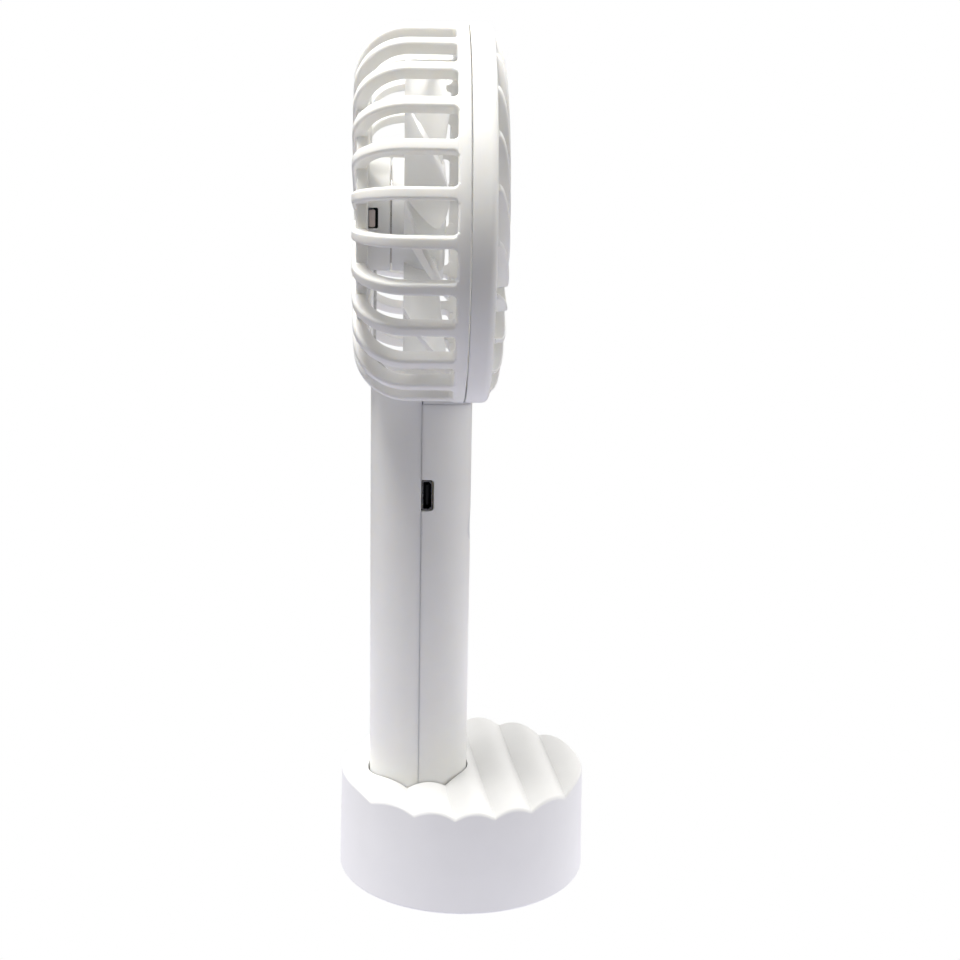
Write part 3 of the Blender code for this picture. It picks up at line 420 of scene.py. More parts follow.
def moulded_plastic(recipe, colour, roughness, grain=0.02 * MM, glow=0.06):
    """Injection-moulded plastic: faint mottling, uneven gloss and a fine moulded skin."""
    recipe.colours(recipe.noise(90.0, 3.0), tone(colour, 0.985), tone(colour, 1.01))
    recipe.roughness(recipe.noise(240.0, 3.0), roughness - 0.05, roughness + 0.06)
    recipe.bump(recipe.noise(2600.0, 2.0), grain, 0.25)
    recipe.shade({
        "Subsurface Weight": glow, "Subsurface Radius": (1.0, 0.95, 0.85),
        "Subsurface Scale": 1.2 * MM,
    })


def dark_plastic(recipe):
    recipe.shade({"Specular IOR Level": 0.12})
    recipe.colours(recipe.noise(300.0), (0.012, 0.012, 0.013), (0.022, 0.022, 0.023))
    recipe.roughness(recipe.noise(900.0), 0.38, 0.55)
    recipe.bump(recipe.noise(3000.0), 0.02 * MM)


def coarse_matter(recipe, first, second, roughness, spots, grain, depth, strength, specular=0.5):
    """A dull material with speckled colour and a coarse skin, such as rubber or ferrite."""
    recipe.shade({"Roughness": roughness, "Specular IOR Level": specular})
    recipe.colours(recipe.noise(spots, 4.0), first, second)
    recipe.bump(recipe.noise(grain, 4.0), depth, strength)


def worked_metal(recipe, colour, roughness, stretch):
    """Metal with fine tool marks drawn out along one axis."""
    recipe.shade({"Metallic": 1.0})
    marks = recipe.noise(1500.0, 3.0, stretch)
    recipe.colours(marks, tone(colour, 0.88), tone(colour, 1.06))
    recipe.roughness(recipe.noise(700.0, 2.0), roughness - 0.06, roughness + 0.12)
    recipe.bump(marks, 0.01 * MM, 0.2)


def socket_metal(recipe):
    """Metal of the charging socket: bright at the mouth, with painted shade that darkens it inside."""
    recipe.shade({"Metallic": 1.0})
    parts = add(recipe.tree, "ShaderNodeSeparateXYZ", {"Vector": recipe.place})
    mouth = SOCKET_BOX[0].y
    # painted shade: the colour runs from bright metal at the mouth to near black deeper in the socket's
    # recess
    depth = map_range(
        recipe.tree, parts.outputs["Y"], (mouth + 0.1 * MM, mouth + 0.7 * MM, 0.0, 1.0)
    )
    recipe.colours(depth.outputs["Result"], (0.55, 0.55, 0.56), (0.02, 0.02, 0.022), 0.0, 1.0)
    recipe.roughness(recipe.noise(900.0), 0.22, 0.34)
    recipe.bump(recipe.noise(1800.0), 0.01 * MM)


def copper_winding(recipe):
    """Enamelled wire laid side by side, in copper tones, with painted shade in the grooves between
    strands.
    """
    recipe.shade({"Roughness": 0.3, "Metallic": 1.0})
    strands = recipe.wave(900.0, "X", 0.6)
    # the copper tone follows the same bands as the bump: painted shade in the grooves, lighter on the
    # strands' crests
    recipe.colours(strands, (0.42, 0.15, 0.06), (0.78, 0.36, 0.18), 0.1, 0.8)
    recipe.bump(strands, 0.1 * MM, 0.7)


def board_laminate(recipe):
    """Solder mask over glass cloth and copper tracks."""
    recipe.shade({"Roughness": 0.4})
    tracks = recipe.wave(160.0, "Z", 3.0)
    recipe.colours(tracks, (0.02, 0.16, 0.07), (0.045, 0.28, 0.13), 0.42, 0.5)
    recipe.bump(recipe.wave(1800.0, "DIAGONAL"), 0.02 * MM, 0.3)


def cell_wrap(recipe):
    """Shrink film with faint wrinkles."""
    recipe.shade({"Roughness": 0.32})
    recipe.colours(recipe.noise(200.0, 3.0), (0.06, 0.20, 0.46), (0.09, 0.28, 0.60))
    recipe.bump(recipe.noise(260.0, 3.0, (1.0, 1.0, 0.25)), 0.12 * MM, 0.35)


def wire_jacket(recipe, colour):
    recipe.shade({"Roughness": 0.42})
    recipe.colours(recipe.noise(600.0), tone(colour, 0.8), tone(colour, 1.15))
    recipe.bump(recipe.noise(1800.0), 0.02 * MM)


def clear_plastic(recipe):
    recipe.shade({"Transmission Weight": 0.6})
    recipe.colours(recipe.noise(400.0), (0.82, 0.86, 0.90), (0.90, 0.93, 0.96))
    recipe.roughness(recipe.noise(1200.0), 0.06, 0.16)


# each finish, by the record's slot name, with its maker and the values it takes
FINISHES = {
    "head_plastic": (moulded_plastic, (0.92, 0.917, 0.9), 0.36, 0.02 * MM, 0.8),
    "badge_plastic": (moulded_plastic, (0.92, 0.92, 0.90), 0.24, 0.008 * MM),
    "blade_plastic": (moulded_plastic, (0.95, 0.95, 0.94), 0.4, 0.004 * MM, 0.8),
    "base_plastic": (moulded_plastic, (0.92, 0.922, 0.925), 0.45, 0.03 * MM),
    "button_plastic": (moulded_plastic, (0.80, 0.81, 0.82), 0.34),
    "black_plastic": (dark_plastic,),
    "pad_rubber": (
        coarse_matter, (0.21, 0.21, 0.22), (0.28, 0.28, 0.29), 0.9, 500.0, 2200.0, 0.05 * MM, 0.5,
        0.3,
    ),
    "screw_steel": (worked_metal, (0.62, 0.62, 0.63), 0.3, (1.0, 1.0, 0.2)),
    "motor_steel": (worked_metal, (0.66, 0.62, 0.60), 0.28, (0.15, 1.0, 1.0)),
    "usb_steel": (socket_metal,),
    "nickel": (worked_metal, (0.70, 0.68, 0.62), 0.3, (1.0, 0.2, 1.0)),
    "bush_bronze": (worked_metal, (0.55, 0.36, 0.18), 0.4, (0.3, 1.0, 1.0)),
    "copper_winding": (copper_winding,),
    "magnet": (
        coarse_matter, (0.07, 0.07, 0.075), (0.13, 0.13, 0.14), 0.65, 900.0, 2500.0, 0.04 * MM, 0.4
    ),
    "board_green": (board_laminate,),
    "cell_wrap": (cell_wrap,),
    "wire_red": (wire_jacket, (0.60, 0.03, 0.03)),
    "wire_black": (wire_jacket, (0.02, 0.02, 0.02)),
    "wire_white": (wire_jacket, (0.80, 0.80, 0.78)),
    "terminal_metal": (worked_metal, (0.80, 0.70, 0.67), 0.34, (1.0, 1.0, 0.2)),
    "led_clear": (clear_plastic,),
}

# the CAD nodes that stay, by finish
NODES_LEFT = {
    "base_plastic": ["base_plate"],
    "pad_rubber": ["base_pad"],
    "screw_steel": [
        "base_screw_1", "base_screw_2", "base_screw_3", "board_screw_lower", "board_screw_upper"
    ],
    "motor_steel": ["motor_can", "motor_shaft"],
    "black_plastic": ["motor_end_cap", "usb_tongue", "button_switch", "switch_plunger"],
    "bush_bronze": ["motor_bush_front", "motor_bush_rear"],
    "magnet": ["motor_magnet_upper", "motor_magnet_lower"],
    "copper_winding": ["motor_armature"],
    "cell_wrap": ["battery_cell"],
    "nickel": ["battery_tab_bottom", "battery_tab_top"],
    "wire_black": ["battery_wire_negative"],
    "wire_red": ["battery_wire_positive"],
    "wire_white": ["motor_wire_positive", "motor_wire_negative"],
    "board_green": ["circuit_board"],
    "led_clear": ["charge_led"],
}


def make_materials():
    materials = {}
    for slot, (add_finish, *values) in FINISHES.items():
        recipe = Recipe(slot)
        add_finish(recipe, *values)
        materials[slot] = recipe.material
    return materials


def dress_nodes(materials):
    """Gives each CAD node that stays its procedural finish."""
    for slot, nodes in NODES_LEFT.items():
        for node in nodes:
            mesh = frame["nodes"][node].data
            mesh.materials.clear()
            mesh.materials.append(materials[slot])


# ---- cage and handle
def rib_flare(distance):
    """How much wider a rib is on each side, this far from the ring: a quarter-round fillet."""
    inside = WINDOW_FILLET - min(WINDOW_FILLET, max(0.0, distance))
    return WINDOW_FILLET - sqrt(WINDOW_FILLET ** 2 - inside ** 2)


def rib_stations():
    """(along, radius, direction, width) down the middle of a rib's outer face, from ring to disc."""
    outer = HEAD_RADIUS - RIB_SINK
    stations = [(WINDOW_FRONT + 1.2 * MM, outer, pi / 2, RIB_WIDTH + 2 * WINDOW_FILLET)]
    for step in range(7):
        distance = WINDOW_FILLET * (1 - cos(pi / 2 * step / 6))
        width = RIB_WIDTH + 2 * rib_flare(distance)
        stations.append((WINDOW_FRONT - distance, outer, pi / 2, width))
    bend = (CAGE_BACK + CAGE_CORNER, outer - CAGE_CORNER)
    for step in range(17):
        angle = pi / 2 * (1 + step / 16)
        taper = 1 - 0.1 * step / 16
        stations.append((
            bend[0] + CAGE_CORNER * cos(angle), bend[1] + CAGE_CORNER * sin(angle),
            angle, RIB_WIDTH * taper,
        ))
    inner = DISC_RADIUS - 1.5 * MM
    narrow, inner_width = RIB_WIDTH * 0.9, 1.8 * MM
    for step in range(1, 5):
        radius = bend[1] + (inner - bend[1]) * step / 4
        stations.append((CAGE_BACK, radius, pi, narrow + (inner_width - narrow) * step / 4))
    return stations


def rib_outline(width):
    """A rib's cross-section: (across, depth) with a crowned outer face and softened inner edges."""
    half = width / 2
    return rounded([
        (-half, 0.0, 0.75 * MM), (half, 0.0, 0.75 * MM),
        (half * 0.88, RIB_DEPTH, 0.35 * MM), (-half * 0.88, RIB_DEPTH, 0.35 * MM),
    ])


def ribs_body():
    """All the cage's ribs, with a window facing straight up and straight down."""
    bm = bmesh.new()
    stations = rib_stations()
    for number in range(RIB_COUNT):
        angle = 2 * pi * (number + 0.5) / RIB_COUNT + pi / 2
        outward = Vector((0.0, cos(angle), sin(angle)))
        across = Vector((0.0, -sin(angle), cos(angle)))
        sections = []
        for along, radius, turn, width in stations:
            face = HEAD + Vector((along, 0.0, 0.0)) + outward * radius
            inward = -(Vector((cos(turn), 0.0, 0.0)) + outward * sin(turn))
            sections.append([face + across * a + inward * d for a, d in rib_outline(width)])
        skin(bm, sections)
    return bm


def cage_ring_body():
    """The band that the ribs spring from."""
    inner = HEAD_RADIUS - RING_DEPTH
    return head_ring(rounded([
        (WINDOW_FRONT, inner, 0.4 * MM), (WINDOW_FRONT, HEAD_RADIUS, 0.75 * MM),
        (CAGE_FRONT, HEAD_RADIUS, 0.25 * MM), (CAGE_FRONT, inner, 0.3 * MM),
    ]))


def hoop_body():
    """The hoop inside the ribs."""
    back, front, inner, outer = HOOP
    soft = 0.4 * MM
    return head_ring(rounded([
        (back, inner, soft), (back, outer, soft), (front, outer, soft), (front, inner, soft)
    ]))


def disc_body():
    """The round plate at the back that carries the motor, with a shallow dish and a soft rim."""
    back = CAGE_BACK + 0.2 * MM
    front = CUP_BACK - 0.3 * MM
    dish, dish_edge, slope = 0.7 * MM, DISC_RADIUS - 4.4 * MM, 1.6 * MM
    profile = [(back + dish, CORE), (back + dish, DISC_RADIUS - 4.6 * MM)]
    for step in range(7):
        share = step / 6
        lift = dish * (1 - cos(pi * share)) / 2
        profile.append((back + dish - lift, dish_edge + slope * share))
    soft = 0.7 * MM
    profile += [(back + soft * a, DISC_RADIUS - soft * b) for a, b in quarter_round(6)]
    return head_solid(profile + [(front, DISC_RADIUS), (front, CORE)])


def handle_body(top):
    """A half's outer shape before it is cut: a bar with a rounded foot edge."""
    soft = 1.2 * MM
    foot = [(HANDLE_BOTTOM + soft * a, HANDLE_RADIUS - soft * b) for a, b in quarter_round(6)]
    profile = [(HANDLE_BOTTOM, CORE)] + foot + [(top, HANDLE_RADIUS), (top, CORE)]
    return solid_body(profile, upright(POST), HANDLE_STEPS)


def handle_cavity(name, top, cutter):
    """The hollow inside a half of the handle, less whatever closes its top."""
    bar = post_bar(HANDLE_BOTTOM + 2 * MM, top + MM, HANDLE_RADIUS - HANDLE_WALL)
    return carve(name, bar, [("DIFFERENCE", cutter)])


def cage_solid(inset):
    """A solid with the cage's outline moved in by inset, for cutting."""
    bend = (CAGE_BACK + CAGE_CORNER, HEAD_RADIUS - CAGE_CORNER)
    radius = CAGE_CORNER - inset
    front = 20 * MM
    profile = [(bend[0] - radius, CORE)]
    for step in range(13):
        angle = pi - pi / 2 * step / 12
        profile.append((bend[0] + radius * cos(angle), bend[1] + radius * sin(angle)))
    return head_solid(profile + [(front, HEAD_RADIUS - inset), (front, CORE)])


def rear_half_body():
    """The rear half of the handle, closed at its top by the cage's floor."""
    top = HEAD.z - 25 * MM
    return carve("rear_half", handle_body(top), [
        ("DIFFERENCE", handle_cavity("rear_cavity", top, cage_solid(-MM))),
        ("DIFFERENCE", side_block(-SEAM, REACH)),
        ("DIFFERENCE", cage_solid(2.6 * MM)),
    ])


def saddle_body():
    """The front part of the floor inside the cage, above the handle."""
    inner, outer = HEAD_RADIUS - 2.57 * MM, HEAD_RADIUS - 0.33 * MM
    back, front = -1.7 * MM, WINDOW_FRONT + 1.5 * MM
    band = rounded([(back, inner, 0.0), (back, outer, 0.0), (front, outer, 0.0), (front, inner, 0.0)])
    bar = post_bar(NECK_LOW, NECK_HIGH, HANDLE_RADIUS - 0.5 * MM)
    return carve("saddle", bar, [("INTERSECT", head_ring(band))])


def collar_body():
    """A thin lip on top of the handle's front half, under the ring and the front guard."""
    inner = HEAD_RADIUS - 1.0 * MM
    clear = HEAD_RADIUS + 0.03 * MM
    outer = HEAD_RADIUS + COLLAR - 0.06 * MM
    step, end = CAGE_FRONT - 0.2 * MM, HANDLE_RADIUS + MM
    outline = rounded([
        (-MM, inner, 0.0), (step, inner, 0.0), (step, clear, 0.0), (end, clear, 0.0),
        (end, outer, 0.0), (-MM, outer, 0.0),
    ])
    return carve("collar", post_bar(NECK_LOW, NECK_HIGH, HANDLE_RADIUS + 0.03 * MM), [
        ("INTERSECT", head_ring(outline)), ("DIFFERENCE", side_block(-REACH, 0.2 * MM)),
    ])


def rear_shell_body():
    """Cage, hoop, motor plate and rear half of the handle, as one moulding."""
    wire_hole = upright(POST - Vector((6 * MM, 0.0, 0.0)))
    return carve("rear_shell_fine", cage_ring_body(), [
        ("UNION", ribs_body()), ("UNION", hoop_body()), ("UNION", disc_body()),
        ("UNION", rear_half_body()), ("UNION", saddle_body()), ("UNION", collar_body()),
        ("DIFFERENCE", bar_body(NECK_LOW, NECK_HIGH, 2.0 * MM, wire_hole, 24)),
    ])


def port_outline(grow):
    """The charging port's opening, (x from the seam, height), rounded at its front corners."""
    middle = (SOCKET_BOX[0].z + SOCKET_BOX[1].z) / 2
    low, high = middle - PORT_HALF - grow, middle + PORT_HALF + grow
    return soft_block((-MM, low), (PORT_FRONT + grow, high), 0.8 * MM, 0.0)


def port_cutter():
    """Opens the port through the wall, a little wider at the skin so that its rim is chamfered."""
    sections = []
    for depth, grow in ((-8 * MM, 0.0), (-12.75 * MM, 0.0), (-13.35 * MM, 0.35 * MM)):
        sections.append([Vector((HEAD.x + a, depth, b)) for a, b in port_outline(grow)])
    return skinned(sections)


def button_cutter(height, radius, chamfer):
    """A round opening in the handle's front with a small chamfer that follows its skin."""
    return solid_body(
        [(5 * MM, radius), (HANDLE_RADIUS - 0.45 * MM, radius),
         (HANDLE_RADIUS + 0.3 * MM, radius + chamfer)],
        level(height), 64,
    )


def front_shell_body():
    """The front half of the handle, with the port, button and lamp openings."""
    top = HEAD.z - 40 * MM
    return carve("front_shell_fine", handle_body(top), [
        ("DIFFERENCE", handle_cavity("front_cavity", top, head_bar(HEAD_RADIUS + 2.2 * MM))),
        ("DIFFERENCE", head_bar(HEAD_RADIUS + COLLAR)),
        ("DIFFERENCE", side_block(-REACH, SEAM)),
        ("DIFFERENCE", port_cutter()),
        ("DIFFERENCE", button_cutter(BUTTON_HEIGHT, BUTTON_RADIUS + 0.2 * MM, 0.2 * MM)),
        ("DIFFERENCE", button_cutter(LENS_HEIGHT, 1.3 * MM, 0.3 * MM)),
    ])


# ---- front guard
def vane_front(radius):
    """How far forward a vane stands: it rises from the ring to a crest and dips to the hub."""
    if radius < VANE_CREST:
        share = min(1.0, (VANE_CREST - radius) / (VANE_CREST - GUARD_HUB))
        return GUARD_FRONT - VANE_DIP * share ** 3.4
    share = min(1.0, (radius - VANE_CREST) / (VANE_RIM - VANE_CREST))
    return GUARD_EDGE + (GUARD_FRONT - GUARD_EDGE) * sqrt(1.0 - share ** 2.7)


def vane_sections(start_angle):
    """One spiral vane from the ring to the hub: a leaning slat with a rounded front edge."""
    outer = HEAD_RADIUS - 2.2 * MM
    inner = GUARD_HUB - 1.2 * MM
    steps = 26
    side_front, side_back = VANE_THICKNESS / 2, VANE_THICKNESS * 0.42
    outline = rounded([
        (0.0, -side_front, 0.4 * MM), (0.0, side_front, 0.4 * MM),
        (-VANE_DEPTH, side_back, 0.3 * MM), (-VANE_DEPTH, -side_back, 0.3 * MM),
    ], 3)
    sections = []
    for step in range(steps + 1):
        share = step / steps
        radius = outer + (inner - outer) * (1 - cos(pi * share)) / 2
        angle = start_angle + log(VANE_RIM / radius)
        front = vane_front(radius)
        section = []
        for depth, side in outline:
            lean = 1.2 * MM * -depth / VANE_DEPTH
            section.append(head_place(front + depth, radius, angle + (side + lean) / radius))
        sections.append(section)
    return sections


def guard_hub_body():
    """The plain hub, with a recess for its inlay."""
    front = vane_front(GUARD_HUB)
    back = front - 3.6 * MM
    recess = front - 1.2 * MM
    rim = GUARD_HUB - 2 * MM
    soft = 0.3 * MM
    return head_solid(rounded([
        (back, CORE, 0.0), (back, GUARD_HUB, soft), (front, GUARD_HUB, 0.6 * MM),
        (front, rim, soft), (recess, rim, 0.0), (recess, CORE, 0.0),
    ]))


def front_guard_body():
    """Ring, spiral vanes and hub of the front guard."""
    inner = HEAD_RADIUS - RING_DEPTH
    outline = rounded([
        (GUARD_BACK, inner, 0.3 * MM), (GUARD_BACK, HEAD_RADIUS, 0.25 * MM),
        (GUARD_EDGE, HEAD_RADIUS, 1.8 * MM), (GUARD_EDGE, inner, 0.5 * MM),
    ], 6)
    vanes = bmesh.new()
    for number in range(VANE_COUNT):
        skin(vanes, vane_sections(2 * pi * number / VANE_COUNT))
    return carve("front_guard_fine", head_ring(outline), [
        ("UNION", vanes), ("UNION", guard_hub_body()),
    ])


def badge_body():
    """The plain round inlay, a shallow dome with a stepped rim."""
    low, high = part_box("grille_badge")
    base, rise, rim = low.x - HEAD.x, high.x - low.x, high.y
    soft, dome_radius, dome_foot = 0.3 * MM, rim - 1.4 * MM, 0.75 * MM
    profile = [(base, CORE), (base, rim)]
    profile += [(base + soft * (2 - b), rim - soft * a) for a, b in quarter_round(4)]
    profile.append((base + 0.6 * MM, rim - 1.0 * MM))
    for step in range(13):
        share = step / 12
        height = dome_foot + (rise - dome_foot) * (1 - (1 - share) ** 2)
        profile.append((base + height, dome_radius * (1 - share) + CORE * share))
    return head_solid(profile)


# ---- motor cup and impeller
def cup_notches():
    """Cutters for the cup's two side notches and the one at its foot."""
    back, soft = HEAD.x + CUP_BACK, 0.4 * MM
    front = TERMINAL_BOX[1].x + 0.7 * MM
    low, high = TERMINAL_BOX[0].z - 0.3 * MM, TERMINAL_BOX[1].z + 0.6 * MM
    side = soft_block((back - MM, low), (front, high), soft, 0.0)
    half = 1.5 * MM
    foot = soft_block((back + 0.5 * MM, -half), (front, half), soft, soft)
    near, far = 9 * MM, 16 * MM
    return [
        ("DIFFERENCE", slab_body(side, -far, -near)), ("DIFFERENCE", slab_body(side, near, far)),
        ("DIFFERENCE", slab_body(
            foot, HEAD.z - far, HEAD.z - near, lambda a, b, depth: Vector((a, b, depth))
        )),
    ]


def motor_cup_body():
    """The cup that holds the motor, notched at both sides and at its foot."""
    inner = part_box("motor_can")[1].y + 0.3 * MM
    soft = 0.4 * MM
    floor = CUP_BACK + MM
    outline = rounded([
        (CUP_BACK, CORE, 0.0), (CUP_BACK, CUP_RADIUS, soft), (CUP_FRONT, CUP_RADIUS, soft),
        (CUP_FRONT, inner, 0.2 * MM), (floor, inner, 0.0), (floor, CORE, 0.0),
    ])
    return carve("motor_cup_fine", head_solid(outline), cup_notches())


def solder_bead(centre):
    bead = bmesh.new()
    size = Matrix.Diagonal((0.62 * MM, 0.3 * MM, 0.7 * MM, 1.0))
    bmesh.ops.create_uvsphere(
        bead, u_segments=24, v_segments=14, radius=1.0, matrix=Matrix.Translation(centre) @ size
    )
    return bead


def terminal_body(name, side):
    """A stamped terminal: a strip with soft edges and a slot, its bent leg and a solder bead."""
    low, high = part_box(name)
    outer = max(abs(low.y), abs(high.y))
    middle = (low.z + high.z) / 2
    inset, thick = 0.55 * MM, 0.4 * MM
    face = slab_body(
        soft_block((low.x, low.z), (high.x, high.z), 0.35 * MM, 0.35 * MM),
        side * (outer - thick), side * outer,
    )
    slot_low = (low.x + inset, low.z + 0.5 * MM)
    slot_high = (high.x - inset, middle + 0.4 * MM)
    slot = slab_body(
        soft_block(slot_low, slot_high, 0.19 * MM, 0.19 * MM),
        side * (outer - 0.15 * MM), side * (outer + MM),
    )
    leg_ends = sorted((side * min(abs(low.y), abs(high.y)), side * (outer - 0.1 * MM)))
    leg = box_body(
        (low.x + 0.3 * MM, leg_ends[0], middle - MM), (low.x + 0.7 * MM, leg_ends[1], middle + MM)
    )
    bead = solder_bead(Vector(((low.x + high.x) / 2, side * (outer - 0.3 * MM), high.z - 0.9 * MM)))
    return carve(f"{name}_fine", face, [("UNION", leg), ("DIFFERENCE", slot), ("UNION", bead)])


def corner_trim(corner, from_tip):
    """How far a rounded corner of the tip has drawn its edge back, this far from the tip."""
    if from_tip >= corner:
        return 0.0
    return corner - sqrt(corner ** 2 - (corner - from_tip) ** 2)


def blade_section(radius, start_angle):
    """One closed section of a blade: a thin twisted aerofoil at one radius."""
    share = (radius - CUP_RADIUS) / (BLADE_TIP - CUP_RADIUS)
    from_tip = BLADE_TIP - radius
    root_trim = BLADE_ROOT_CUT * (1 - share)
    back = BLADE_BACK + corner_trim(BLADE_BACK_CORNER, from_tip)
    front = BLADE_FRONT - corner_trim(BLADE_FRONT_CORNER, from_tip) - root_trim
    pitch = ROOT_PITCH + (TIP_PITCH - ROOT_PITCH) * share
    slant = sqrt(1 + (pitch * radius) ** 2)
    section = []
    for side in (-1, 1):
        row = []
        for step in range(CHORD_STEPS + 1):
            t = (1 - cos(pi * step / CHORD_STEPS)) / 2
            along = back + (front - back) * t
            bulge = 4 * t * (1 - t)
            thick = BLADE_THICKNESS / 2 * (0.4 + 0.6 * sqrt(bulge))
            camber = BLADE_CAMBER * bulge
            angle = start_angle + BLADE_SWEEP * share + pitch * along
            row.append(head_place(along, radius, angle + (side * thick + camber) * slant / radius))
        section += row if side < 0 else row[::-1]
    return section


def blades_body():
    """All the blades, each rounded at its tip's corners."""
    root = CUP_RADIUS - 0.6 * MM
    straight = BLADE_TIP - BLADE_FRONT_CORNER - root
    radii = [root + straight * step / 24 for step in range(25)]
    radii += [BLADE_TIP - BLADE_FRONT_CORNER * (1 - sin(pi / 2 * step / 9)) for step in range(1, 10)]
    radii[-1] = BLADE_TIP - 0.02 * MM
    bm = bmesh.new()
    for number in range(BLADE_COUNT):
        start_angle = BLADE_START + 2 * pi * number / BLADE_COUNT
        skin(bm, [blade_section(radius, start_angle) for radius in radii])
    return bm


def impeller_body():
    """Hub cup over the motor, with its blades."""
    wall = CUP_RADIUS - 1.2 * MM
    hole, boss, boss_back, ceiling = 1.1 * MM, 2.4 * MM, 0.6 * MM, 4.2 * MM
    outline = rounded([
        (HUB_BACK, wall, 0.2 * MM), (HUB_BACK, CUP_RADIUS, 0.3 * MM),
        (5.2 * MM, CUP_RADIUS, 1.6 * MM), (HUB_FRONT, CUP_RADIUS - 6 * MM, 1.0 * MM),
        (HUB_FRONT, hole, 0.0), (boss_back, hole, 0.0), (boss_back, boss, 0.0),
        (ceiling, boss, 0.0), (ceiling, wall - 2 * MM, 0.0), (2.8 * MM, wall, 0.0),
    ])
    return carve("impeller_fine", head_ring(outline), [("UNION", blades_body())])


# ---- port, button and lamp
def socket_section(inset, y):
    """The socket's outline at one depth, moved in by inset: a rectangle with two sloping corners."""
    low, high = SOCKET_BOX
    back, front = low.x - HEAD.x + inset, high.x - HEAD.x - inset
    middle, tall = (low.z + high.z) / 2, (high.z - low.z) / 2 - inset
    slope, back_soft, soft = 0.6 * MM, 0.25 * MM, 0.3 * MM
    outline = rounded([
        (back, middle - tall, back_soft), (back, middle + tall, back_soft),
        (front - slope, middle + tall, soft), (front, middle + tall - slope, soft),
        (front, middle - tall + slope, soft), (front - slope, middle - tall, soft),
    ], 3)
    return [Vector((HEAD.x + a, y, b)) for a, b in outline]


def usb_socket_body():
    """The charging socket: a folded metal shell with a flared mouth."""
    mouth, end = SOCKET_BOX[0].y, SOCKET_BOX[1].y
    shell = skinned([socket_section(0.0, mouth), socket_section(0.0, end)])
    hollow = skinned([
        socket_section(0.1 * MM, mouth - 0.1 * MM), socket_section(0.3 * MM, mouth + 0.4 * MM),
        socket_section(0.3 * MM, end - 0.5 * MM),
    ])
    return carve("usb_socket_fine", shell, [("DIFFERENCE", hollow)])


def button_loop(ring, place):
    """One ring of the button's dished face, which follows the handle's curve."""
    skin_radius = HANDLE_RADIUS - 0.03 * MM
    edge = max(0.0, ring - (BUTTON_RADIUS - BUTTON_SOFT))
    drop = BUTTON_SOFT - sqrt(BUTTON_SOFT ** 2 - edge ** 2)
    dish = BUTTON_DISH * max(0.0, 1 - (ring / (BUTTON_RADIUS - 0.7 * MM)) ** 2)
    loop = []
    for i in range(BUTTON_STEPS):
        angle = 2 * pi * i / BUTTON_STEPS
        side = ring * cos(angle)
        loop.append(place(sqrt(skin_radius ** 2 - side ** 2) - drop - dish, ring, angle))
    return loop


def button_body():
    """The power button: a stem, a flange behind the wall and a dished face with a soft edge."""
    place = level(BUTTON_HEIGHT)
    back, stem = 4.9 * MM, 1.2 * MM
    flange = BUTTON_RADIUS + 1.1 * MM
    flange_front = sqrt((HANDLE_RADIUS - HANDLE_WALL) ** 2 - flange ** 2) - 0.3 * MM
    flange_back = flange_front - 0.9 * MM
    sections = turned([
        (back, CORE), (back, stem), (flange_back, stem), (flange_back, flange),
        (flange_front, flange), (flange_front, BUTTON_RADIUS),
    ], place, BUTTON_STEPS)
    edge = [sin(pi / 2 * (1 - step / 5)) for step in range(6)]
    rings = [BUTTON_RADIUS - BUTTON_SOFT * (1 - share) for share in edge]
    flat = BUTTON_RADIUS - BUTTON_SOFT
    rings += [flat * (1 - step / 10) for step in range(1, 10)] + [0.1 * MM]
    return skinned(sections + [button_loop(ring, place) for ring in rings])


def lens_body():
    """The clear pin that carries the lamp's light, with a domed end."""
    start, end = span_along("lamp_lens")
    radius = LENS_BOX[1].y
    core, dome = 0.1 * MM, 0.5 * MM
    profile = [(start, core), (start, radius)]
    for step in range(7):
        angle = pi / 2 * step / 6
        profile.append((end - dome * (1 - sin(angle)), max(core, radius * cos(angle))))
    return solid_body(profile, level(LENS_HEIGHT), 32)


# ---- base
def ridge_height(across):
    """Height of the base's top: round ridges with sharp grooves between them."""
    share = ((across - RIDGE_START) / RIDGE_PITCH) % 1.0
    return BASE_BOX[1].z - RIDGE_RISE * (2 * share - 1) ** 2


def ridge_lines(reach):
    """Distances across the ridges, fine enough for the round rim, with one on every groove."""
    count = 140
    lines = {round(reach * sin(pi * (i / count - 0.5)) / MM, 4) for i in range(count + 1)}
    groove = RIDGE_START - 2 * RIDGE_PITCH
    while groove < reach:
        if abs(groove) < reach:
            near = min(lines, key=lambda line: abs(line - groove / MM))
            lines.discard(near)
            lines.add(round(groove / MM, 4))
        groove += RIDGE_PITCH
    return [line * MM for line in sorted(lines)]


def drum_point(across, along, height):
    """A point of the base, measured across and along its ridges."""
    return Matrix.Rotation(RIDGE_TURN, 3, "Z") @ Vector((across, along, height))


def drum_top(bm, reach):
    """The ridged top in strips along the ridges; gives its rim as (across, along) and as vertices."""
    ends = []
    for across in ridge_lines(reach):
        half = sqrt(max(0.0, reach ** 2 - across ** 2))
        ends.append([(across, -half), (across, half)])
    rim = [pair[0] for pair in ends] + [pair[1] for pair in reversed(ends[1:-1])]
    verts = {place: bm.verts.new(drum_point(*place, ridge_height(place[0]))) for place in rim}
    for left, right in zip(ends, ends[1:]):
        corners = [left[0], right[0], right[1], left[1]]
        bm.faces.new(list(dict.fromkeys(verts[place] for place in corners if place in verts)))
    return rim, [verts[place] for place in rim]


def drum_levels(reach):
    """(step out, drop from the ridges or None, height or None) down the drum's rim, wall and foot."""
    levels = []
    for inward, down in quarter_round(7)[1:]:
        levels.append((BASE_RIM * (1 - down), BASE_RIM * inward, None))
    soft = 0.8 * MM
    wall = BASE_BOX[1].y - reach
    for inward, down in quarter_round(6):
        levels.append((wall - soft * inward, None, soft * down))
    return levels


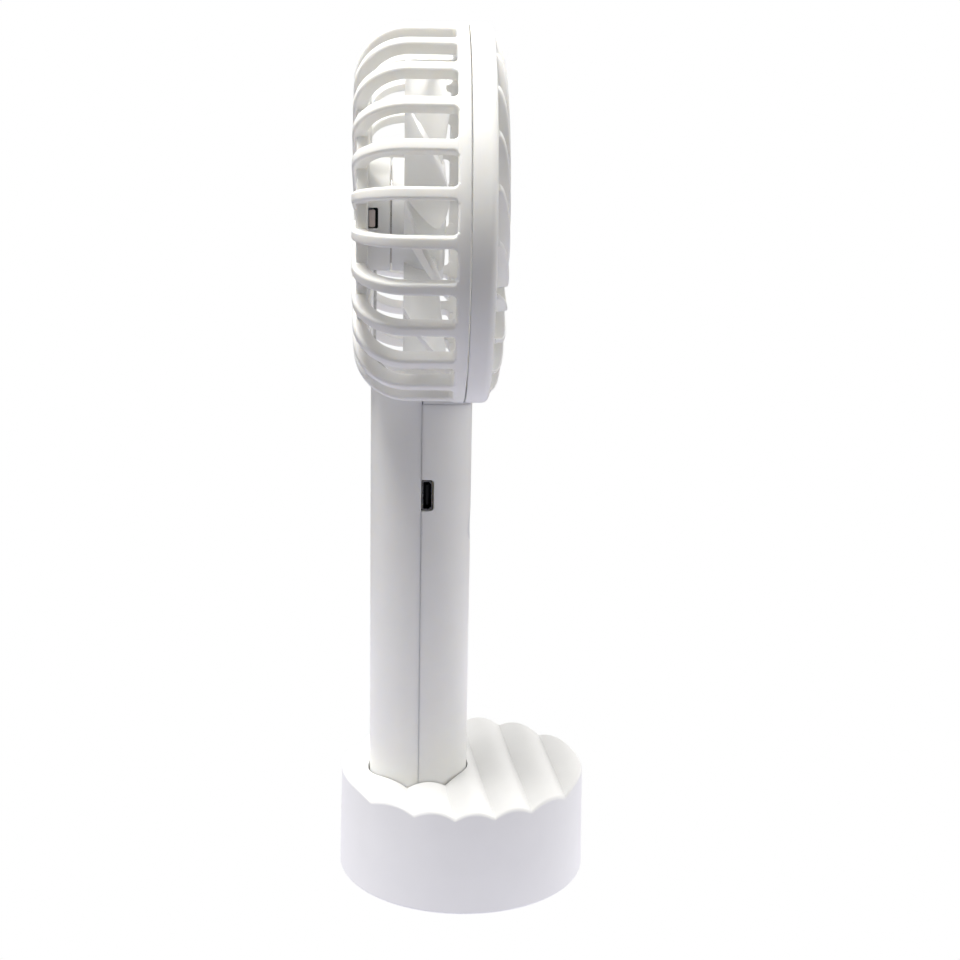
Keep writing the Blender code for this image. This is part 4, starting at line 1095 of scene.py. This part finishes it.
def drum_body():
    """The base's drum: strips along the ridges, a rounded rim, a drafted wall and a soft foot."""
    reach = BASE_TOP_RADIUS - BASE_RIM
    bm = bmesh.new()
    rim, loop = drum_top(bm, reach)
    for out, drop, height in drum_levels(reach):
        ring = []
        for across, along in rim:
            spot = Vector((across, along))
            spot += spot.normalized() * out
            level_here = ridge_height(spot.x) - drop if height is None else height
            ring.append(bm.verts.new(drum_point(*spot, level_here)))
        for i in range(len(loop)):
            j = (i + 1) % len(loop)
            bm.faces.new((loop[i], loop[j], ring[j], ring[i]))
        loop = ring
    bm.faces.new(loop)
    return bm


def base_shell_body():
    """The drum with its ridged top, its round socket and its hollow underside."""
    ceiling = BASE_BOX[1].z - RIDGE_RISE - BASE_WALL
    floor = PLATE_BOX[1].z + 0.3 * MM
    inner = PLATE_BOX[1].y + 0.3 * MM
    boss, pilot, pilot_top = 3.0 * MM, 1.3 * MM, 10 * MM
    steps = [
        ("DIFFERENCE", bar_body(-MM, ceiling, inner, upright(Vector()), BASE_STEPS)),
        ("UNION", post_bar(floor, ceiling + MM, SOCKET_RADIUS + 1.8 * MM)),
    ]
    for number in (1, 2, 3):
        low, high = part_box(f"base_screw_{number}")
        place = upright(Vector(((low.x + high.x) / 2, (low.y + high.y) / 2, 0.0)))
        steps.append(("UNION", bar_body(floor, ceiling + MM, boss, place, 32)))
        steps.append(("DIFFERENCE", bar_body(-MM, pilot_top, pilot, place, 32)))
    well = post_bar(HANDLE_BOTTOM - 0.3 * MM, BASE_BOX[1].z + MM, SOCKET_RADIUS)
    steps.append(("DIFFERENCE", well))
    return carve("base_shell_fine", drum_body(), steps)


# ---- studio
def camera_mix(tree, seen, lit):
    """A shader that the camera sees as one emission while the object is lit by another."""
    rays = add(tree, "ShaderNodeLightPath", {}).outputs["Is Camera Ray"]
    return add(tree, "ShaderNodeMixShader", {"Fac": rays, 1: lit, 2: seen}).outputs["Shader"]


def make_floor():
    """A wide white floor. It lights the object from below, most of all close to the base."""
    bm = bmesh.new()
    bmesh.ops.create_circle(bm, cap_ends=True, segments=96, radius=14.0)
    floor = to_object("floor", bm)
    material = bpy.data.materials.new("floor_paper")
    material.use_nodes = True
    tree = material.node_tree
    place = add(tree, "ShaderNodeTexCoord", {}).outputs["Object"]
    distance = add(tree, "ShaderNodeVectorMath", {0: place})
    distance.operation = "LENGTH"
    span = map_range(
        tree, distance.outputs["Value"], (FLOOR_INNER, FLOOR_OUTER, FLOOR_NEAR, FLOOR_FAR)
    )
    span.interpolation_type = "SMOOTHSTEP"
    strength = span.outputs["Result"]
    glow = add(tree, "ShaderNodeEmission", {"Color": FLOOR_COLOUR, "Strength": strength})
    seen = add(tree, "ShaderNodeEmission", {})
    shader = camera_mix(tree, seen.outputs["Emission"], glow.outputs["Emission"])
    fill(tree, tree.nodes["Material Output"], {"Surface": shader})
    floor.data.materials.append(material)


def curve_node(tree, source, points):
    """Runs a value through straight lines between (in, out) points; in from -1 to 1."""
    node = add(tree, "ShaderNodeFloatCurve", {"Value": source})
    curve = node.mapping.curves[0]
    node.mapping.clip_min_x = -1.0
    node.mapping.clip_max_y = 4.0
    for knot, (place, value) in zip(curve.points, (points[0], points[-1])):
        knot.location = (place, value)
        knot.handle_type = "VECTOR"
    for place, value in points[1:-1]:
        curve.points.new(place, value).handle_type = "VECTOR"
    node.mapping.update()
    return node.outputs["Value"]


def multiply(tree, first, second):
    """The product of two values."""
    node = add(tree, "ShaderNodeMath", {0: first, 1: second})
    node.operation = "MULTIPLY"
    return node.outputs["Value"]


def make_surround():
    """A bright band all round at the sides and behind; dark overhead and on the camera's side."""
    world = bpy.data.worlds.new("studio")
    bpy.context.scene.world = world
    world.use_nodes = True
    tree = world.node_tree
    place = add(tree, "ShaderNodeTexCoord", {}).outputs["Generated"]
    parts = add(tree, "ShaderNodeSeparateXYZ", {"Vector": place})
    depth, rise, turn = (
        curve_node(tree, parts.outputs[axis], points) for axis, points in WORLD_CURVES
    )
    strength = multiply(tree, multiply(tree, depth, rise), turn)
    background = tree.nodes["Background"]
    fill(tree, background, {"Color": WORLD_COLOUR, "Strength": strength})
    seen = add(tree, "ShaderNodeBackground", {"Color": (1.0, 1.0, 1.0, 1.0)})
    shader = camera_mix(tree, seen.outputs["Background"], background.outputs["Background"])
    fill(tree, tree.nodes["World Output"], {"Surface": shader})


def make_key_light():
    """A square soft light high above the object, to its left and on the camera's side."""
    target = Vector((0.0, 0.0, 0.1))
    level_out = KEY_DISTANCE * cos(KEY_RISE)
    place = target + Vector((
        level_out * sin(KEY_TURN), -level_out * cos(KEY_TURN), KEY_DISTANCE * sin(KEY_RISE)
    ))
    data = bpy.data.lights.new("key", "AREA")
    data.size = KEY_SIZE
    data.energy = KEY_POWER
    data.color = KEY_COLOUR
    light = bpy.data.objects.new("key", data)
    bpy.context.scene.collection.objects.link(light)
    light.location = place
    light.rotation_euler = (target - place).to_track_quat("-Z", "Y").to_euler()


def make_camera():
    """A long lens in front of the port side, a little above the head and looking down."""
    level_right = Vector((cos(CAMERA_YAW), -sin(CAMERA_YAW), 0.0))
    level_ahead = Vector((sin(CAMERA_YAW), cos(CAMERA_YAW), 0.0))
    upward = Vector((0.0, 0.0, 1.0))
    ahead = level_ahead * cos(CAMERA_PITCH) - upward * sin(CAMERA_PITCH)
    over = upward * cos(CAMERA_PITCH) + level_ahead * sin(CAMERA_PITCH)
    right = level_right * cos(CAMERA_ROLL) + over * sin(CAMERA_ROLL)
    top = over * cos(CAMERA_ROLL) - level_right * sin(CAMERA_ROLL)
    data = bpy.data.cameras.new("camera")
    data.sensor_width = 36.0
    data.lens = CAMERA_LENS
    data.clip_start = 0.01
    camera = bpy.data.objects.new("camera", data)
    bpy.context.scene.collection.objects.link(camera)
    turn = Matrix((right, top, -ahead)).transposed().to_4x4()
    camera.matrix_world = Matrix.Translation(CAMERA_PLACE) @ turn
    bpy.context.scene.camera = camera


# (visual piece, body it rides on, finish, CAD node it replaces, maker)
PIECES = (
    ("rear_shell_fine", "fan", "head_plastic", "rear_shell", rear_shell_body),
    ("front_shell_fine", "fan", "head_plastic", "front_shell", front_shell_body),
    ("front_guard_fine", "fan", "head_plastic", "front_grille", front_guard_body),
    ("badge_fine", "fan", "badge_plastic", "grille_badge", badge_body),
    ("motor_cup_fine", "fan", "head_plastic", "motor_holder", motor_cup_body),
    ("motor_terminal_positive_fine", "fan", "terminal_metal", "motor_terminal_positive",
     lambda: terminal_body("motor_terminal_positive", -1)),
    ("motor_terminal_negative_fine", "fan", "terminal_metal", "motor_terminal_negative",
     lambda: terminal_body("motor_terminal_negative", 1)),
    ("impeller_fine", "impeller", "blade_plastic", "impeller", impeller_body),
    ("usb_socket_fine", "fan", "usb_steel", "usb_socket", usb_socket_body),
    ("power_button_fine", "button", "button_plastic", "power_button", button_body),
    ("lamp_lens_fine", "fan", "led_clear", "lamp_lens", lens_body),
    ("base_shell_fine", "base", "base_plastic", "base_shell", base_shell_body),
)


def main():
    materials = make_materials()
    dress_nodes(materials)
    for name, body, slot, node, make in PIECES:
        finish_piece(name, make(), body, slot, node, materials)
    make_floor()
    make_surround()
    make_key_light()
    make_camera()
    bpy.context.scene.view_settings.view_transform = "Standard"


main()
